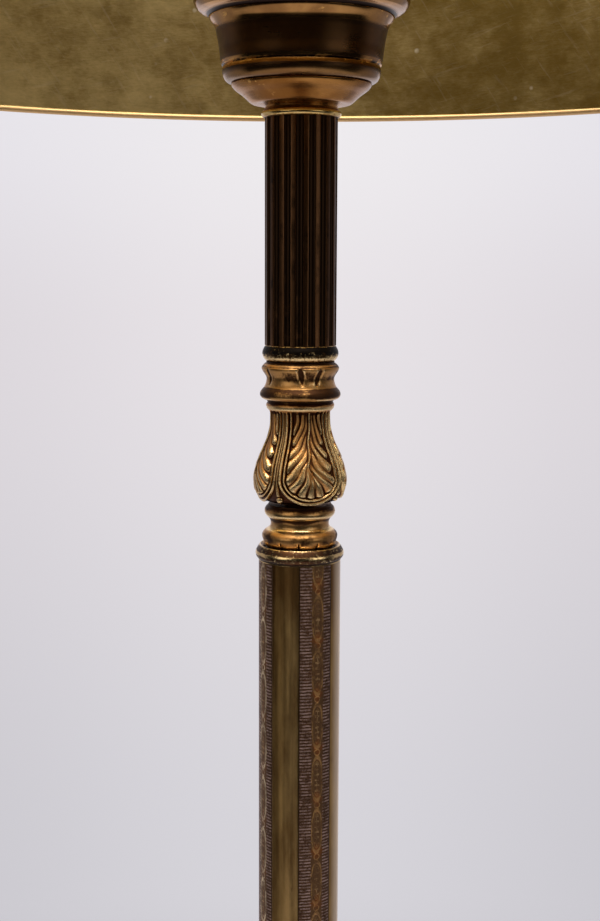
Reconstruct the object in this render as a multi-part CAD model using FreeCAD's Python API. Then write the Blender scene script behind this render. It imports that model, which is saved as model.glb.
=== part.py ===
import FreeCAD, Part
import math
import os

# Candlestick floor lamp: a weighted round base, an engraved tube, a stack of turned and cast
# column pieces clamped on one tie rod, a cup, a two-light cluster and a wide metal drum shade.
# Millimetres, Z up, origin at the centre of the face that stands on the floor.
# The front of the lamp looks toward -Y, and the cord leaves at the back, toward +Y.

# ---- Clearances ----------------------------------------------------------------------------
ROD_CLEARANCE = 0.25      # radial, between the tie rod and every bore that it passes
SPIGOT_CLEARANCE = 0.1    # radial, between a spigot and its tube
TURNING_CLEARANCE = 0.06  # radial, round a shaft that turns
TURNING_GAP = 0.3         # axial, between pieces that turn on each other
WEIGHT_CLEARANCE = 0.5    # radial, between the iron weight and the spun cover

# ---- Tie rod, centre pipe and their nuts ---------------------------------------------------
ROD_RADIUS = 5.0
ROD_BORE = 3.2
ROD_GRIP = 11.0           # how far a rod end is screwed into the piece that holds it
NUT_FLATS = 17.0
NUT_HEIGHT = 8.0
WASHER_RADIUS = 16.0
WASHER_THICKNESS = 2.0

# ---- Base ----------------------------------------------------------------------------------
BASE_RADIUS = 150.0
BASE_HEIGHT = 62.0
FELT_THICKNESS = 2.0
FELT_INSET = 1.5
COVER_WALL = 1.2
COVER_RIM_HEIGHT = 10.0
COVER_SHOULDER = 6.0
COVER_LEDGE = 12.0
COVER_NECK_RADIUS = 27.0
WEIGHT_THICKNESS = 20.0
WEIGHT_POCKET_RADIUS = 22.0
BUSHING_RADIUS = 5.5
BUSHING_FLANGE_RADIUS = 7.0
BUSHING_FLANGE = 1.6
BUSHING_LENGTH = 8.0
BUSHING_BORE = 3.5
BUSHING_HEIGHT = 9.5      # of its axis above the floor

# ---- Foot and engraved tube ----------------------------------------------------------------
FOOT_HEIGHT = 56.0
FOOT_BALL_RADIUS = 24.0
TUBE_RADIUS = 17.5
TUBE_WALL = 1.5
TUBE_LENGTH = 900.0
COLLAR_HEIGHT = 5.4
COLLAR_OVERHANG = 1.2
SPIGOT_LENGTH = 12.0
BAND_COUNT = 4
BAND_ANGLE = 51.5         # degrees of the tube that one engraved band covers
BAND_CENTRE = 25.7        # degrees from the front to the middle of the first band
BAND_LINE_WIDTH = 0.8
BAND_LINE_DEPTH = 0.35

# ---- Cast pieces above the tube ------------------------------------------------------------
KNOP_FOOT_HEIGHT = 18.7
KNOP_FOOT_WAIST = 11.5
KNOP_FOOT_BEAD = 16.0
KNOP_FOOT_LOBES = 12
LOBE_NOTCH_RADIUS = 0.9
KNOP_HEIGHT = 43.9
KNOP_RADIUS = 19.6
KNOP_NECK_RADIUS = 12.5
LEAF_COUNT = 4
LEAF_CENTRE = 15.5        # degrees from the front to the first leaf's midrib
LEAF_RELIEF = 0.9
BORDER_ANGLE = 41.5       # degrees from a leaf's midrib to the border round it
BORDER_WIDTH = 1.1
BORDER_FOOT = 2.2         # level of the border's lowest place above the knop's base
BORDER_TURN = 13.0        # level at which the border starts to run straight up
BORDER_TOP = 39.5
CAPITAL_HEIGHT = 16.7
CAPITAL_WAIST = 13.6
CAPITAL_BEAD = 16.3
CAPITAL_PANELS = 4
CAPITAL_TONGUE_CENTRE = 15.0
CAPITAL_TONGUE_ANGLE = 27.0
CAPITAL_SLOT_WIDTH = 1.6
CAPITAL_SLOT_DEPTH = 0.9

# ---- Fluted column and its rings -----------------------------------------------------------
COLUMN_RADIUS = 15.0
COLUMN_BORE = 12.0
COLUMN_LENGTH = 92.9
FLUTE_COUNT = 18
FLUTE_FIRST = -2.0        # degrees from the front to the middle of the first flute
FLUTE_RADIUS = 2.3
FLUTE_DEPTH = 1.1
RING_SPIGOT = 5.0
LOWER_RING_HEIGHT = 6.7
UPPER_RING_HEIGHT = 4.4

# ---- Cup -----------------------------------------------------------------------------------
BELL_HEIGHT = 10.4
BELL_FOOT_RADIUS = 19.0
BELL_TOP_RADIUS = 28.7
CUP_HEIGHT = 33.6
CUP_WAIST_RADIUS = 32.4
CUP_RIM_RADIUS = 44.0
CUP_WALL = 1.5
CUP_COVER_DROP = 4.0      # of the cover below the cup's rim
CUP_COVER_THICKNESS = 1.5
CUP_COVER_MARGIN = 7.0    # from the rim's outside to the cover's edge

# ---- Cluster and lampholders ---------------------------------------------------------------
CLUSTER_RADIUS = 15.0
CLUSTER_HEIGHT = 24.0
CLUSTER_RISE = 22.0       # from the cup's cover to the underside of the cluster
ARM_RADIUS = 5.0
ARM_REACH = 62.0          # from the axis to each lampholder
ARM_BEND = 14.0
ARM_RISE = 24.0
HOLDER_RADIUS = 20.0
HOLDER_WALL = 0.8
HOLDER_CAP_HEIGHT = 18.0
HOLDER_SHELL_HEIGHT = 34.0
SOCKET_DEPTH = 24.0
BULB_CAP_RADIUS = 13.2
BULB_CAP_TAPER = 5.0
BULB_CAP_SHOWING = 2.0    # of the lamp cap above the lampholder
SOCKET_CLEARANCE = 0.5    # radial, between the lamp cap and the socket
BULB_RADIUS = 30.0
BULB_LENGTH = 82.0        # of the glass above its cap
BULB_WALL = 0.8
KEY_RADIUS = 1.8
KEY_REACH = 18.0          # from the lampholder's shell to the middle of the key's paddle
KEY_PADDLE_RADIUS = 7.0
KEY_THICKNESS = 3.0
KEY_SEAT = 4.0            # from the lampholder's axis to the inner end of the key's shaft

# ---- Shade ---------------------------------------------------------------------------------
SHADE_RADIUS = 290.0
SHADE_HEIGHT = 290.0
SHADE_WALL = 0.6
SHADE_BEAD = 2.4          # height and thickness of the rolled bead along each edge
SHADE_OVERLAP = 22.5      # how far the shade's lower edge hangs below the cup's rim
CARRIER_DROP = 20.0       # of the carrier's arms below the shade's upper edge
CARRIER_ARMS = 3
CARRIER_ARM_WIDTH = 12.0
CARRIER_THICKNESS = 3.0
CARRIER_HUB_RADIUS = 18.0
CARRIER_HUB_HEIGHT = 8.0
CARRIER_LUG_HEIGHT = 14.0
FINIAL_HEIGHT = 42.0
FINIAL_RADIUS = 13.0

# ---- Levels along the axis, from the floor up ----------------------------------------------
WEIGHT_TOP = FELT_THICKNESS + WEIGHT_THICKNESS
FOOT_BASE = BASE_HEIGHT
LOWER_COLLAR_BASE = FOOT_BASE + FOOT_HEIGHT
TUBE_BASE = LOWER_COLLAR_BASE + COLLAR_HEIGHT
UPPER_COLLAR_BASE = TUBE_BASE + TUBE_LENGTH
KNOP_FOOT_BASE = UPPER_COLLAR_BASE + COLLAR_HEIGHT
KNOP_BASE = KNOP_FOOT_BASE + KNOP_FOOT_HEIGHT
CAPITAL_BASE = KNOP_BASE + KNOP_HEIGHT
LOWER_RING_BASE = CAPITAL_BASE + CAPITAL_HEIGHT
COLUMN_BASE = LOWER_RING_BASE + LOWER_RING_HEIGHT
UPPER_RING_BASE = COLUMN_BASE + COLUMN_LENGTH
BELL_BASE = UPPER_RING_BASE + UPPER_RING_HEIGHT
CUP_BASE = BELL_BASE + BELL_HEIGHT
CUP_TOP = CUP_BASE + CUP_HEIGHT
COVER_DISC_TOP = CUP_TOP - CUP_COVER_DROP
CLUSTER_BASE = COVER_DISC_TOP + CLUSTER_RISE
CLUSTER_TOP = CLUSTER_BASE + CLUSTER_HEIGHT
ARM_LEVEL = CLUSTER_BASE + CLUSTER_HEIGHT / 2
HOLDER_BASE = ARM_LEVEL + ARM_RISE
SHELL_BASE = HOLDER_BASE + HOLDER_CAP_HEIGHT
SHELL_TOP = SHELL_BASE + HOLDER_SHELL_HEIGHT
SOCKET_FLOOR = SHELL_TOP - SOCKET_DEPTH
GLOBE_BASE = SHELL_TOP + BULB_CAP_SHOWING
KEY_LEVEL = (SHELL_BASE + SOCKET_FLOOR) / 2
SHADE_BASE = CUP_TOP - SHADE_OVERLAP
SHADE_TOP = SHADE_BASE + SHADE_HEIGHT
CARRIER_LEVEL = SHADE_TOP - CARRIER_DROP
HUB_TOP = CARRIER_LEVEL + CARRIER_HUB_HEIGHT
FINIAL_BASE = HUB_TOP + TURNING_GAP

BORE_RADIUS = ROD_RADIUS + ROD_CLEARANCE
AXIS = FreeCAD.Vector(0, 0, 1)
ORIGIN = FreeCAD.Vector(0, 0, 0)


# ---- Helpers -------------------------------------------------------------------------------
def turned(outline):
    """Turns a closed half section, a list of (radius, height) points, about the Z axis."""
    points = [FreeCAD.Vector(radius, 0, height) for radius, height in outline]
    section = Part.Face(Part.makePolygon(points + points[:1]))
    return section.revolve(ORIGIN, AXIS, 360)


def stacked(base, height, profile, bore=BORE_RADIUS):
    """A turned piece of the stack: (radius, share of its height) points up its outside."""
    outside = [(radius, base + share * height) for radius, share in profile]
    return turned([(bore, outside[0][1])] + outside + [(bore, outside[-1][1])])


def tube(outer, inner, base, height):
    """A plain tube along Z."""
    return cylinder(outer, base, height).cut(cylinder(inner, base, height))


def cylinder(radius, base, height):
    """A plain cylinder along Z that stands at the given level."""
    return Part.makeCylinder(radius, height, FreeCAD.Vector(0, 0, base), AXIS)


def spun(shape, degrees):
    """A copy of the shape, turned about the Z axis."""
    copy = shape.copy()
    copy.rotate(ORIGIN, AXIS, degrees)
    return copy


def ring_of(shape, count, first=0.0):
    """Copies of the shape at equal angles about the Z axis."""
    return [spun(shape, first + index * 360.0 / count) for index in range(count)]


def front(degrees):
    """The angle about Z of a place given in degrees from the front, toward +X."""
    return degrees - 90.0


def both_sides(shape):
    """The shape and its twin on the other side of the axis, as one group."""
    return Part.makeCompound([shape, spun(shape, 180)])


# ---- Base ----------------------------------------------------------------------------------
def cover_form(inset):
    """The spun base as a filled form, with its outside moved inward and down by the inset."""
    ledge = WEIGHT_TOP + COVER_WALL
    shoulder_radius = BASE_RADIUS - COVER_SHOULDER
    riser_radius = shoulder_radius - COVER_LEDGE
    rise = BASE_HEIGHT - ledge
    span = riser_radius - COVER_NECK_RADIUS
    outside = [
        (BASE_RADIUS, FELT_THICKNESS + COVER_RIM_HEIGHT),
        (shoulder_radius, ledge),
        (riser_radius, ledge),
        (riser_radius - 0.12 * span, ledge + 0.22 * rise),
        (riser_radius - 0.68 * span, ledge + 0.50 * rise),
        (COVER_NECK_RADIUS, BASE_HEIGHT),
    ]
    moved = [(radius - inset, height - inset) for radius, height in outside]
    foot = (BASE_RADIUS - inset, FELT_THICKNESS)
    return turned([(0, FELT_THICKNESS), foot] + moved + [(0, BASE_HEIGHT - inset)])


def bushing_place(distance):
    """A place on the bushing's axis, at a distance from the lamp's axis."""
    return FreeCAD.Vector(0, distance, BUSHING_HEIGHT)


def bushing_bar(radius, start, length):
    """A cylinder along the bushing's axis, pointing backward."""
    return Part.makeCylinder(radius, length, bushing_place(start), FreeCAD.Vector(0, 1, 0))


def felt_pad():
    return cylinder(BASE_RADIUS - FELT_INSET, 0, FELT_THICKNESS)


def base_weight():
    radius = BASE_RADIUS - COVER_SHOULDER - COVER_WALL - WEIGHT_CLEARANCE
    body = tube(radius, BORE_RADIUS, FELT_THICKNESS, WEIGHT_THICKNESS)
    pocket_depth = ROD_GRIP + WASHER_THICKNESS
    pocket = cylinder(WEIGHT_POCKET_RADIUS, FELT_THICKNESS, pocket_depth)
    half = BUSHING_RADIUS + WEIGHT_CLEARANCE
    height = BUSHING_HEIGHT + half - FELT_THICKNESS
    corner = FreeCAD.Vector(-half, 0, FELT_THICKNESS)
    channel = Part.makeBox(2 * half, BASE_RADIUS, height, corner)
    return body.cut(pocket).cut(channel)


def base_cover():
    shell = cover_form(0).cut(cover_form(COVER_WALL))
    shell = shell.cut(cylinder(BORE_RADIUS, 0, BASE_HEIGHT))
    return shell.cut(bushing_bar(BUSHING_RADIUS, BASE_RADIUS - BUSHING_LENGTH, 2 * BUSHING_LENGTH))


def cord_bushing():
    inner_end = BASE_RADIUS + BUSHING_FLANGE - BUSHING_LENGTH
    barrel = bushing_bar(BUSHING_RADIUS, inner_end, BUSHING_LENGTH)
    flange = bushing_bar(BUSHING_FLANGE_RADIUS, BASE_RADIUS, BUSHING_FLANGE)
    body = barrel.fuse(flange.cut(cylinder(BASE_RADIUS, 0, BASE_HEIGHT)))
    return body.cut(bushing_bar(BUSHING_BORE, inner_end, BUSHING_LENGTH))


# ---- Fasteners -----------------------------------------------------------------------------
def clamp_washer():
    base = FELT_THICKNESS + ROD_GRIP
    return tube(WASHER_RADIUS, BORE_RADIUS, base, WASHER_THICKNESS)


def hex_nut(base):
    """A hexagon nut on the rod or the centre pipe."""
    corner = NUT_FLATS / math.sqrt(3)
    angles = [math.radians(60 * index) for index in range(6)]
    points = [FreeCAD.Vector(corner * math.cos(a), corner * math.sin(a), base) for a in angles]
    prism = Part.Face(Part.makePolygon(points + points[:1])).extrude(AXIS * NUT_HEIGHT)
    return prism.cut(cylinder(ROD_RADIUS, base, NUT_HEIGHT))


def rod_nuts():
    under_weight = FELT_THICKNESS + ROD_GRIP - NUT_HEIGHT
    on_cup = COVER_DISC_TOP
    under_cluster = CLUSTER_BASE - NUT_HEIGHT
    under_carrier = CARRIER_LEVEL - TURNING_GAP - NUT_HEIGHT
    levels = (under_weight, on_cup, under_cluster, under_carrier)
    return Part.makeCompound([hex_nut(level) for level in levels])


def tie_rod():
    base = FELT_THICKNESS + ROD_GRIP - NUT_HEIGHT - 1.0
    return tube(ROD_RADIUS, ROD_BORE, base, CLUSTER_BASE + ROD_GRIP - base)


def centre_pipe():
    base = CLUSTER_TOP - ROD_GRIP
    return tube(ROD_RADIUS, ROD_BORE, base, FINIAL_BASE + ROD_GRIP - base)


# ---- Foot and engraved tube ----------------------------------------------------------------
def foot_baluster():
    neck = 0.62 * TUBE_RADIUS
    profile = [
        (COVER_NECK_RADIUS - 3.0, 0.00),
        (COVER_NECK_RADIUS - 1.0, 0.07),
        (neck + 3.0, 0.18),
        (neck, 0.30),
        (FOOT_BALL_RADIUS - 6.0, 0.42),
        (FOOT_BALL_RADIUS, 0.60),
        (FOOT_BALL_RADIUS - 5.0, 0.78),
        (TUBE_RADIUS - 2.0, 0.86),
        (TUBE_RADIUS - 2.0, 1.00),
    ]
    return stacked(FOOT_BASE, FOOT_HEIGHT, profile)


def collar(tube_end, direction):
    """The beaded ring that closes a tube end; its spigot points along the direction, 1 or -1."""
    bead = TUBE_RADIUS + COLLAR_OVERHANG
    spigot = TUBE_RADIUS - TUBE_WALL - SPIGOT_CLEARANCE
    outline = [
        (BORE_RADIUS, -COLLAR_HEIGHT),
        (bead - 0.8, -COLLAR_HEIGHT),
        (bead, -0.70 * COLLAR_HEIGHT),
        (bead, -0.40 * COLLAR_HEIGHT),
        (TUBE_RADIUS, 0),
        (spigot, 0),
        (spigot, SPIGOT_LENGTH),
        (BORE_RADIUS, SPIGOT_LENGTH),
    ]
    return turned([(radius, tube_end + direction * level) for radius, level in outline])


def engraved_tube():
    body = tube(TUBE_RADIUS, TUBE_RADIUS - TUBE_WALL, TUBE_BASE, TUBE_LENGTH)
    corner = FreeCAD.Vector(TUBE_RADIUS - BAND_LINE_DEPTH, -BAND_LINE_WIDTH / 2, TUBE_BASE)
    line = Part.makeBox(TUBE_WALL, BAND_LINE_WIDTH, TUBE_LENGTH, corner)
    edges = (BAND_CENTRE - BAND_ANGLE / 2, BAND_CENTRE + BAND_ANGLE / 2)
    lines = [cut for edge in edges for cut in ring_of(line, BAND_COUNT, front(edge))]
    return body.cut(lines)


# ---- Cast pieces above the tube ------------------------------------------------------------
def knop_foot():
    lip = KNOP_FOOT_WAIST + 3.1
    profile = [
        (KNOP_FOOT_BEAD - 1.5, 0.00),
        (KNOP_FOOT_BEAD - 0.4, 0.12),
        (KNOP_FOOT_BEAD, 0.28),
        (KNOP_FOOT_WAIST + 1.6, 0.44),
        (KNOP_FOOT_WAIST, 0.54),
        (KNOP_FOOT_WAIST + 1.2, 0.70),
        (lip, 0.84),
        (lip, 0.94),
        (KNOP_FOOT_WAIST + 2.4, 1.00),
    ]
    body = stacked(KNOP_FOOT_BASE, KNOP_FOOT_HEIGHT, profile)
    level = KNOP_FOOT_BASE - LOBE_NOTCH_RADIUS
    start = FreeCAD.Vector(KNOP_FOOT_BEAD, 0, level)
    tip = FreeCAD.Vector(0, 0, 0.2 * KNOP_FOOT_HEIGHT + LOBE_NOTCH_RADIUS)
    notch = Part.makeCylinder(LOBE_NOTCH_RADIUS, tip.z, start, AXIS)
    return body.cut(ring_of(notch, KNOP_FOOT_LOBES, front(0)))


def knop_outline(lift):
    """The knop's (radius, share of height) points, with its outside raised by the lift."""
    belly = KNOP_RADIUS - LEAF_RELIEF
    neck = KNOP_NECK_RADIUS - LEAF_RELIEF
    points = [
        (belly - 4.6, 0.00),
        (belly - 1.6, 0.07),
        (belly, 0.18),
        (belly, 0.29),
        (0.5 * (belly + neck) + 1.2, 0.46),
        (0.5 * (belly + neck) - 1.6, 0.62),
        (neck, 0.80),
        (neck, 0.90),
    ]
    return [(radius + lift, share) for radius, share in points]


def leaf_plan(side):
    """Half of a leaf's outline as (degrees from the midrib, share of height), tip to neck."""
    lobes = [(0, 0.05), (14, 0.08), (13, 0.12), (24, 0.15), (22, 0.20), (32, 0.26), (27, 0.32)]
    blade = [(30, 0.42), (22, 0.50), (23, 0.60), (14, 0.70), (11, 0.84), (0, 0.90)]
    return [(side * angle, share) for angle, share in lobes + blade]


def leaf_prism(reach):
    """A leaf's outline, pushed outward from the axis over the face of the knop."""
    plan = leaf_plan(1) + leaf_plan(-1)[-2:0:-1]
    points = []
    for angle, share in plan:
        sideways = KNOP_RADIUS * math.sin(math.radians(angle))
        points.append(FreeCAD.Vector(0, sideways, KNOP_BASE + share * KNOP_HEIGHT))
    face = Part.Face(Part.makePolygon(points + points[:1]))
    return face.extrude(FreeCAD.Vector(reach, 0, 0))


def border_bow(inset, reach):
    """A filled half ellipse under the border's turn, pushed outward over the knop."""
    across = KNOP_RADIUS * math.sin(math.radians(BORDER_ANGLE)) + BORDER_WIDTH / 2 - inset
    down = BORDER_TURN - BORDER_FOOT + BORDER_WIDTH / 2 - inset
    centre = FreeCAD.Vector(0, 0, KNOP_BASE + BORDER_TURN)
    side = centre + FreeCAD.Vector(0, across, 0)
    ellipse = Part.Ellipse(side, centre - FreeCAD.Vector(0, 0, down), centre)
    face = Part.Face(Part.Wire(ellipse.toShape()))
    above = Part.makeBox(reach, 2 * reach, reach, centre - FreeCAD.Vector(0, reach, 0))
    return face.extrude(FreeCAD.Vector(reach, 0, 0)).cut(above)


def leaf_border(reach):
    """The raised border that runs down beside a leaf, round its tip and up again."""
    bow = border_bow(0, reach).cut(border_bow(BORDER_WIDTH, reach))
    corner = FreeCAD.Vector(0, -BORDER_WIDTH / 2, KNOP_BASE + BORDER_TURN)
    stem = Part.makeBox(reach, BORDER_WIDTH, BORDER_TOP - BORDER_TURN, corner)
    return bow.fuse([spun(stem, BORDER_ANGLE), spun(stem, -BORDER_ANGLE)])


def acanthus_knop():
    ring = KNOP_NECK_RADIUS + 1.8
    top = [(ring - 0.6, 0.925), (ring, 0.95), (ring, 0.98), (ring - 0.4, 1.00)]
    body = stacked(KNOP_BASE, KNOP_HEIGHT, knop_outline(0) + top)
    raised = stacked(KNOP_BASE, KNOP_HEIGHT, knop_outline(LEAF_RELIEF))
    reach = 2 * KNOP_RADIUS
    carving = raised.common(leaf_prism(reach).fuse(leaf_border(reach)))
    return body.fuse(ring_of(carving, LEAF_COUNT, front(LEAF_CENTRE))).removeSplitter()


def capital():
    profile = [
        (CAPITAL_WAIST + 0.4, 0.00),
        (CAPITAL_BEAD - 0.6, 0.10),
        (CAPITAL_BEAD, 0.22),
        (CAPITAL_WAIST + 1.4, 0.34),
        (CAPITAL_WAIST, 0.50),
        (CAPITAL_WAIST + 0.9, 0.74),
        (CAPITAL_BEAD - 0.4, 0.86),
        (CAPITAL_WAIST + 0.6, 1.00),
    ]
    body = stacked(CAPITAL_BASE, CAPITAL_HEIGHT, profile)
    corner = FreeCAD.Vector(CAPITAL_WAIST - CAPITAL_SLOT_DEPTH, -CAPITAL_SLOT_WIDTH / 2, 0)
    slot = Part.makeBox(CAPITAL_BEAD, CAPITAL_SLOT_WIDTH, 0.44 * CAPITAL_HEIGHT, corner)
    slot.translate(FreeCAD.Vector(0, 0, CAPITAL_BASE + 0.36 * CAPITAL_HEIGHT))
    sides = (-CAPITAL_TONGUE_ANGLE / 2, CAPITAL_TONGUE_ANGLE / 2)
    cuts = []
    for side in sides:
        cuts += ring_of(slot, CAPITAL_PANELS, front(CAPITAL_TONGUE_CENTRE + side))
    return body.cut(cuts)


# ---- Fluted column and its rings -----------------------------------------------------------
def fluted_column():
    cutter_centre = COLUMN_RADIUS - FLUTE_DEPTH + FLUTE_RADIUS
    body = tube(COLUMN_RADIUS, COLUMN_BORE, COLUMN_BASE, COLUMN_LENGTH)
    start = FreeCAD.Vector(cutter_centre, 0, COLUMN_BASE)
    flute = Part.makeCylinder(FLUTE_RADIUS, COLUMN_LENGTH, start, AXIS)
    return body.cut(ring_of(flute, FLUTE_COUNT, front(FLUTE_FIRST)))


def ring_spigot():
    return COLUMN_BORE - SPIGOT_CLEARANCE


def column_lower_ring():
    profile = [
        (COLUMN_RADIUS - 1.3, 0.00),
        (COLUMN_RADIUS + 0.2, 0.20),
        (COLUMN_RADIUS + 0.7, 0.42),
        (COLUMN_RADIUS + 0.7, 0.70),
        (COLUMN_RADIUS + 0.2, 1.00),
        (ring_spigot(), 1.00),
        (ring_spigot(), 1.00 + RING_SPIGOT / LOWER_RING_HEIGHT),
    ]
    return stacked(LOWER_RING_BASE, LOWER_RING_HEIGHT, profile)


def column_upper_ring():
    profile = [
        (ring_spigot(), -RING_SPIGOT / UPPER_RING_HEIGHT),
        (ring_spigot(), 0.00),
        (COLUMN_RADIUS + 0.3, 0.00),
        (COLUMN_RADIUS + 1.4, 0.30),
        (COLUMN_RADIUS + 1.3, 0.55),
        (COLUMN_RADIUS - 0.2, 1.00),
    ]
    return stacked(UPPER_RING_BASE, UPPER_RING_HEIGHT, profile)


# ---- Cup -----------------------------------------------------------------------------------
def cup_bell():
    profile = [
        (BELL_FOOT_RADIUS - 1.2, 0.00),
        (BELL_FOOT_RADIUS, 0.06),
        (BELL_FOOT_RADIUS + 4.0, 0.40),
        (BELL_TOP_RADIUS - 0.5, 0.85),
        (BELL_TOP_RADIUS, 1.00),
    ]
    return stacked(BELL_BASE, BELL_HEIGHT, profile)


def cup_body():
    rim = CUP_RIM_RADIUS
    waist = CUP_WAIST_RADIUS
    seat = (COVER_DISC_TOP - CUP_COVER_THICKNESS - CUP_BASE) / CUP_HEIGHT
    floor = CUP_WALL / CUP_HEIGHT
    outside = [
        (BELL_TOP_RADIUS + 0.2, 0.00),
        (waist, 0.08),
        (waist, 0.19),
        (waist + 1.4, 0.37),
        (waist + 2.2, 0.52),
        (waist + 5.4, 0.75),
        (rim - 1.9, 0.80),
        (rim, 0.87),
        (rim, 0.94),
        (rim - 1.6, 1.00),
    ]
    inside = [
        (cup_cover_radius() + CUP_WALL, 1.00),
        (cup_cover_radius() + SPIGOT_CLEARANCE, seat),
        (cup_cover_radius() - CUP_WALL, seat),
        (BELL_TOP_RADIUS - CUP_WALL, floor),
        (BORE_RADIUS, floor),
        (BORE_RADIUS, 0.00),
    ]
    return turned([(r, CUP_BASE + share * CUP_HEIGHT) for r, share in outside + inside])


def cup_cover_radius():
    return CUP_RIM_RADIUS - CUP_COVER_MARGIN


def cup_cover():
    base = COVER_DISC_TOP - CUP_COVER_THICKNESS
    return tube(cup_cover_radius(), BORE_RADIUS, base, CUP_COVER_THICKNESS)


# ---- Cluster and lampholders ---------------------------------------------------------------
def cluster_body():
    body = tube(CLUSTER_RADIUS, BORE_RADIUS, CLUSTER_BASE, CLUSTER_HEIGHT)
    start = FreeCAD.Vector(0, 0, ARM_LEVEL)
    hole = Part.makeCylinder(ARM_RADIUS, CLUSTER_RADIUS, start, FreeCAD.Vector(1, 0, 0))
    return body.cut(ring_of(hole, 2))


def cluster_arms():
    start = FreeCAD.Vector(BORE_RADIUS + 1.0, 0, ARM_LEVEL)
    bend = FreeCAD.Vector(ARM_REACH - ARM_BEND, 0, ARM_LEVEL)
    side = ARM_BEND * math.sin(math.radians(45))
    middle = FreeCAD.Vector(bend.x + side, 0, ARM_LEVEL + ARM_BEND - side)
    upright = FreeCAD.Vector(ARM_REACH, 0, ARM_LEVEL + ARM_BEND)
    top = FreeCAD.Vector(ARM_REACH, 0, HOLDER_BASE)
    route = Part.Wire([
        Part.LineSegment(start, bend).toShape(),
        Part.Arc(bend, middle, upright).toShape(),
        Part.LineSegment(upright, top).toShape(),
    ])
    section = Part.Wire(Part.Circle(start, FreeCAD.Vector(1, 0, 0), ARM_RADIUS).toShape())
    return both_sides(route.makePipeShell([section], True, True))


def at_holder(shape):
    """Moves a piece made on the axis out to the lampholder's place."""
    shape.translate(FreeCAD.Vector(ARM_REACH, 0, 0))
    return shape


def lampholder_caps():
    outline = [
        (0, HOLDER_BASE),
        (ARM_RADIUS + 3.0, HOLDER_BASE),
        (HOLDER_RADIUS - 4.0, SHELL_BASE - 0.55 * HOLDER_CAP_HEIGHT),
        (HOLDER_RADIUS, SHELL_BASE),
        (0, SHELL_BASE),
    ]
    return both_sides(at_holder(turned(outline)))


def key_bar(radius, start, length):
    """A cylinder along the switch key's axis, square to the arm, toward the front."""
    place = FreeCAD.Vector(ARM_REACH, -start, KEY_LEVEL)
    return Part.makeCylinder(radius, length, place, FreeCAD.Vector(0, -1, 0))


def lampholder_shells():
    wall = tube(HOLDER_RADIUS, HOLDER_RADIUS - HOLDER_WALL, SHELL_BASE, HOLDER_SHELL_HEIGHT)
    shell = at_holder(wall)
    return both_sides(shell.cut(key_bar(KEY_RADIUS + TURNING_CLEARANCE, 0, 2 * HOLDER_RADIUS)))


def lampholder_inserts():
    radius = HOLDER_RADIUS - HOLDER_WALL - SPIGOT_CLEARANCE
    socket = cylinder(BULB_CAP_RADIUS + SOCKET_CLEARANCE, SOCKET_FLOOR, SOCKET_DEPTH)
    block = cylinder(radius, SHELL_BASE, HOLDER_SHELL_HEIGHT).cut(socket)
    shaft = key_bar(KEY_RADIUS + TURNING_CLEARANCE, 0, HOLDER_RADIUS)
    return both_sides(at_holder(block).cut(shaft))


def bulb_caps():
    outline = [
        (0, SOCKET_FLOOR),
        (0.5 * BULB_CAP_RADIUS, SOCKET_FLOOR),
        (BULB_CAP_RADIUS, SOCKET_FLOOR + BULB_CAP_TAPER),
        (BULB_CAP_RADIUS, GLOBE_BASE),
        (0, GLOBE_BASE),
    ]
    return both_sides(at_holder(turned(outline)))


def bulb_globes():
    profile = [
        (BULB_CAP_RADIUS, 0.00),
        (BULB_CAP_RADIUS + 3.0, 0.18),
        (BULB_RADIUS, 0.50),
        (BULB_RADIUS, 0.74),
        (0.5 * BULB_RADIUS, 0.95),
    ]
    outside = [(radius, GLOBE_BASE + share * BULB_LENGTH) for radius, share in profile]
    outside.append((0, GLOBE_BASE + BULB_LENGTH))
    inside = [(0, GLOBE_BASE + BULB_LENGTH - BULB_WALL)]
    inside += [(radius - BULB_WALL, level - BULB_WALL) for radius, level in outside[-2:0:-1]]
    inside.append((BULB_CAP_RADIUS - BULB_WALL, GLOBE_BASE))
    return both_sides(at_holder(turned(outside + inside)))


def key_right():
    reach = HOLDER_RADIUS + KEY_REACH
    shaft = key_bar(KEY_RADIUS, KEY_SEAT, reach - KEY_SEAT)
    middle = FreeCAD.Vector(ARM_REACH, -reach, KEY_LEVEL - KEY_THICKNESS / 2)
    return shaft.fuse(Part.makeCylinder(KEY_PADDLE_RADIUS, KEY_THICKNESS, middle, AXIS))


def key_left():
    return spun(key_right(), 180)


# ---- Shade ---------------------------------------------------------------------------------
def shade_shell():
    middle = SHADE_RADIUS - SHADE_WALL / 2
    edge = SHADE_BEAD / 2
    low = SHADE_BASE + SHADE_BEAD
    high = SHADE_TOP - SHADE_BEAD
    outside = [
        (middle + edge, SHADE_BASE),
        (middle + edge, low),
        (SHADE_RADIUS, low),
        (SHADE_RADIUS, high),
        (middle + edge, high),
        (middle + edge, SHADE_TOP),
    ]
    inside = [(2 * middle - radius, level) for radius, level in reversed(outside)]
    return turned(outside + inside)


def shade_carrier():
    hub = tube(CARRIER_HUB_RADIUS, ROD_RADIUS + TURNING_CLEARANCE, CARRIER_LEVEL, CARRIER_HUB_HEIGHT)
    reach = SHADE_RADIUS - SHADE_WALL
    corner = FreeCAD.Vector(CARRIER_HUB_RADIUS - 2.0, -CARRIER_ARM_WIDTH / 2, CARRIER_LEVEL)
    arm = Part.makeBox(reach, CARRIER_ARM_WIDTH, CARRIER_THICKNESS, corner)
    corner.x = reach - CARRIER_THICKNESS
    lug = Part.makeBox(reach, CARRIER_ARM_WIDTH, CARRIER_LUG_HEIGHT, corner)
    arm = arm.fuse(lug).common(cylinder(reach, CARRIER_LEVEL, CARRIER_LUG_HEIGHT))
    return hub.fuse(ring_of(arm, CARRIER_ARMS, front(180)))


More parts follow.
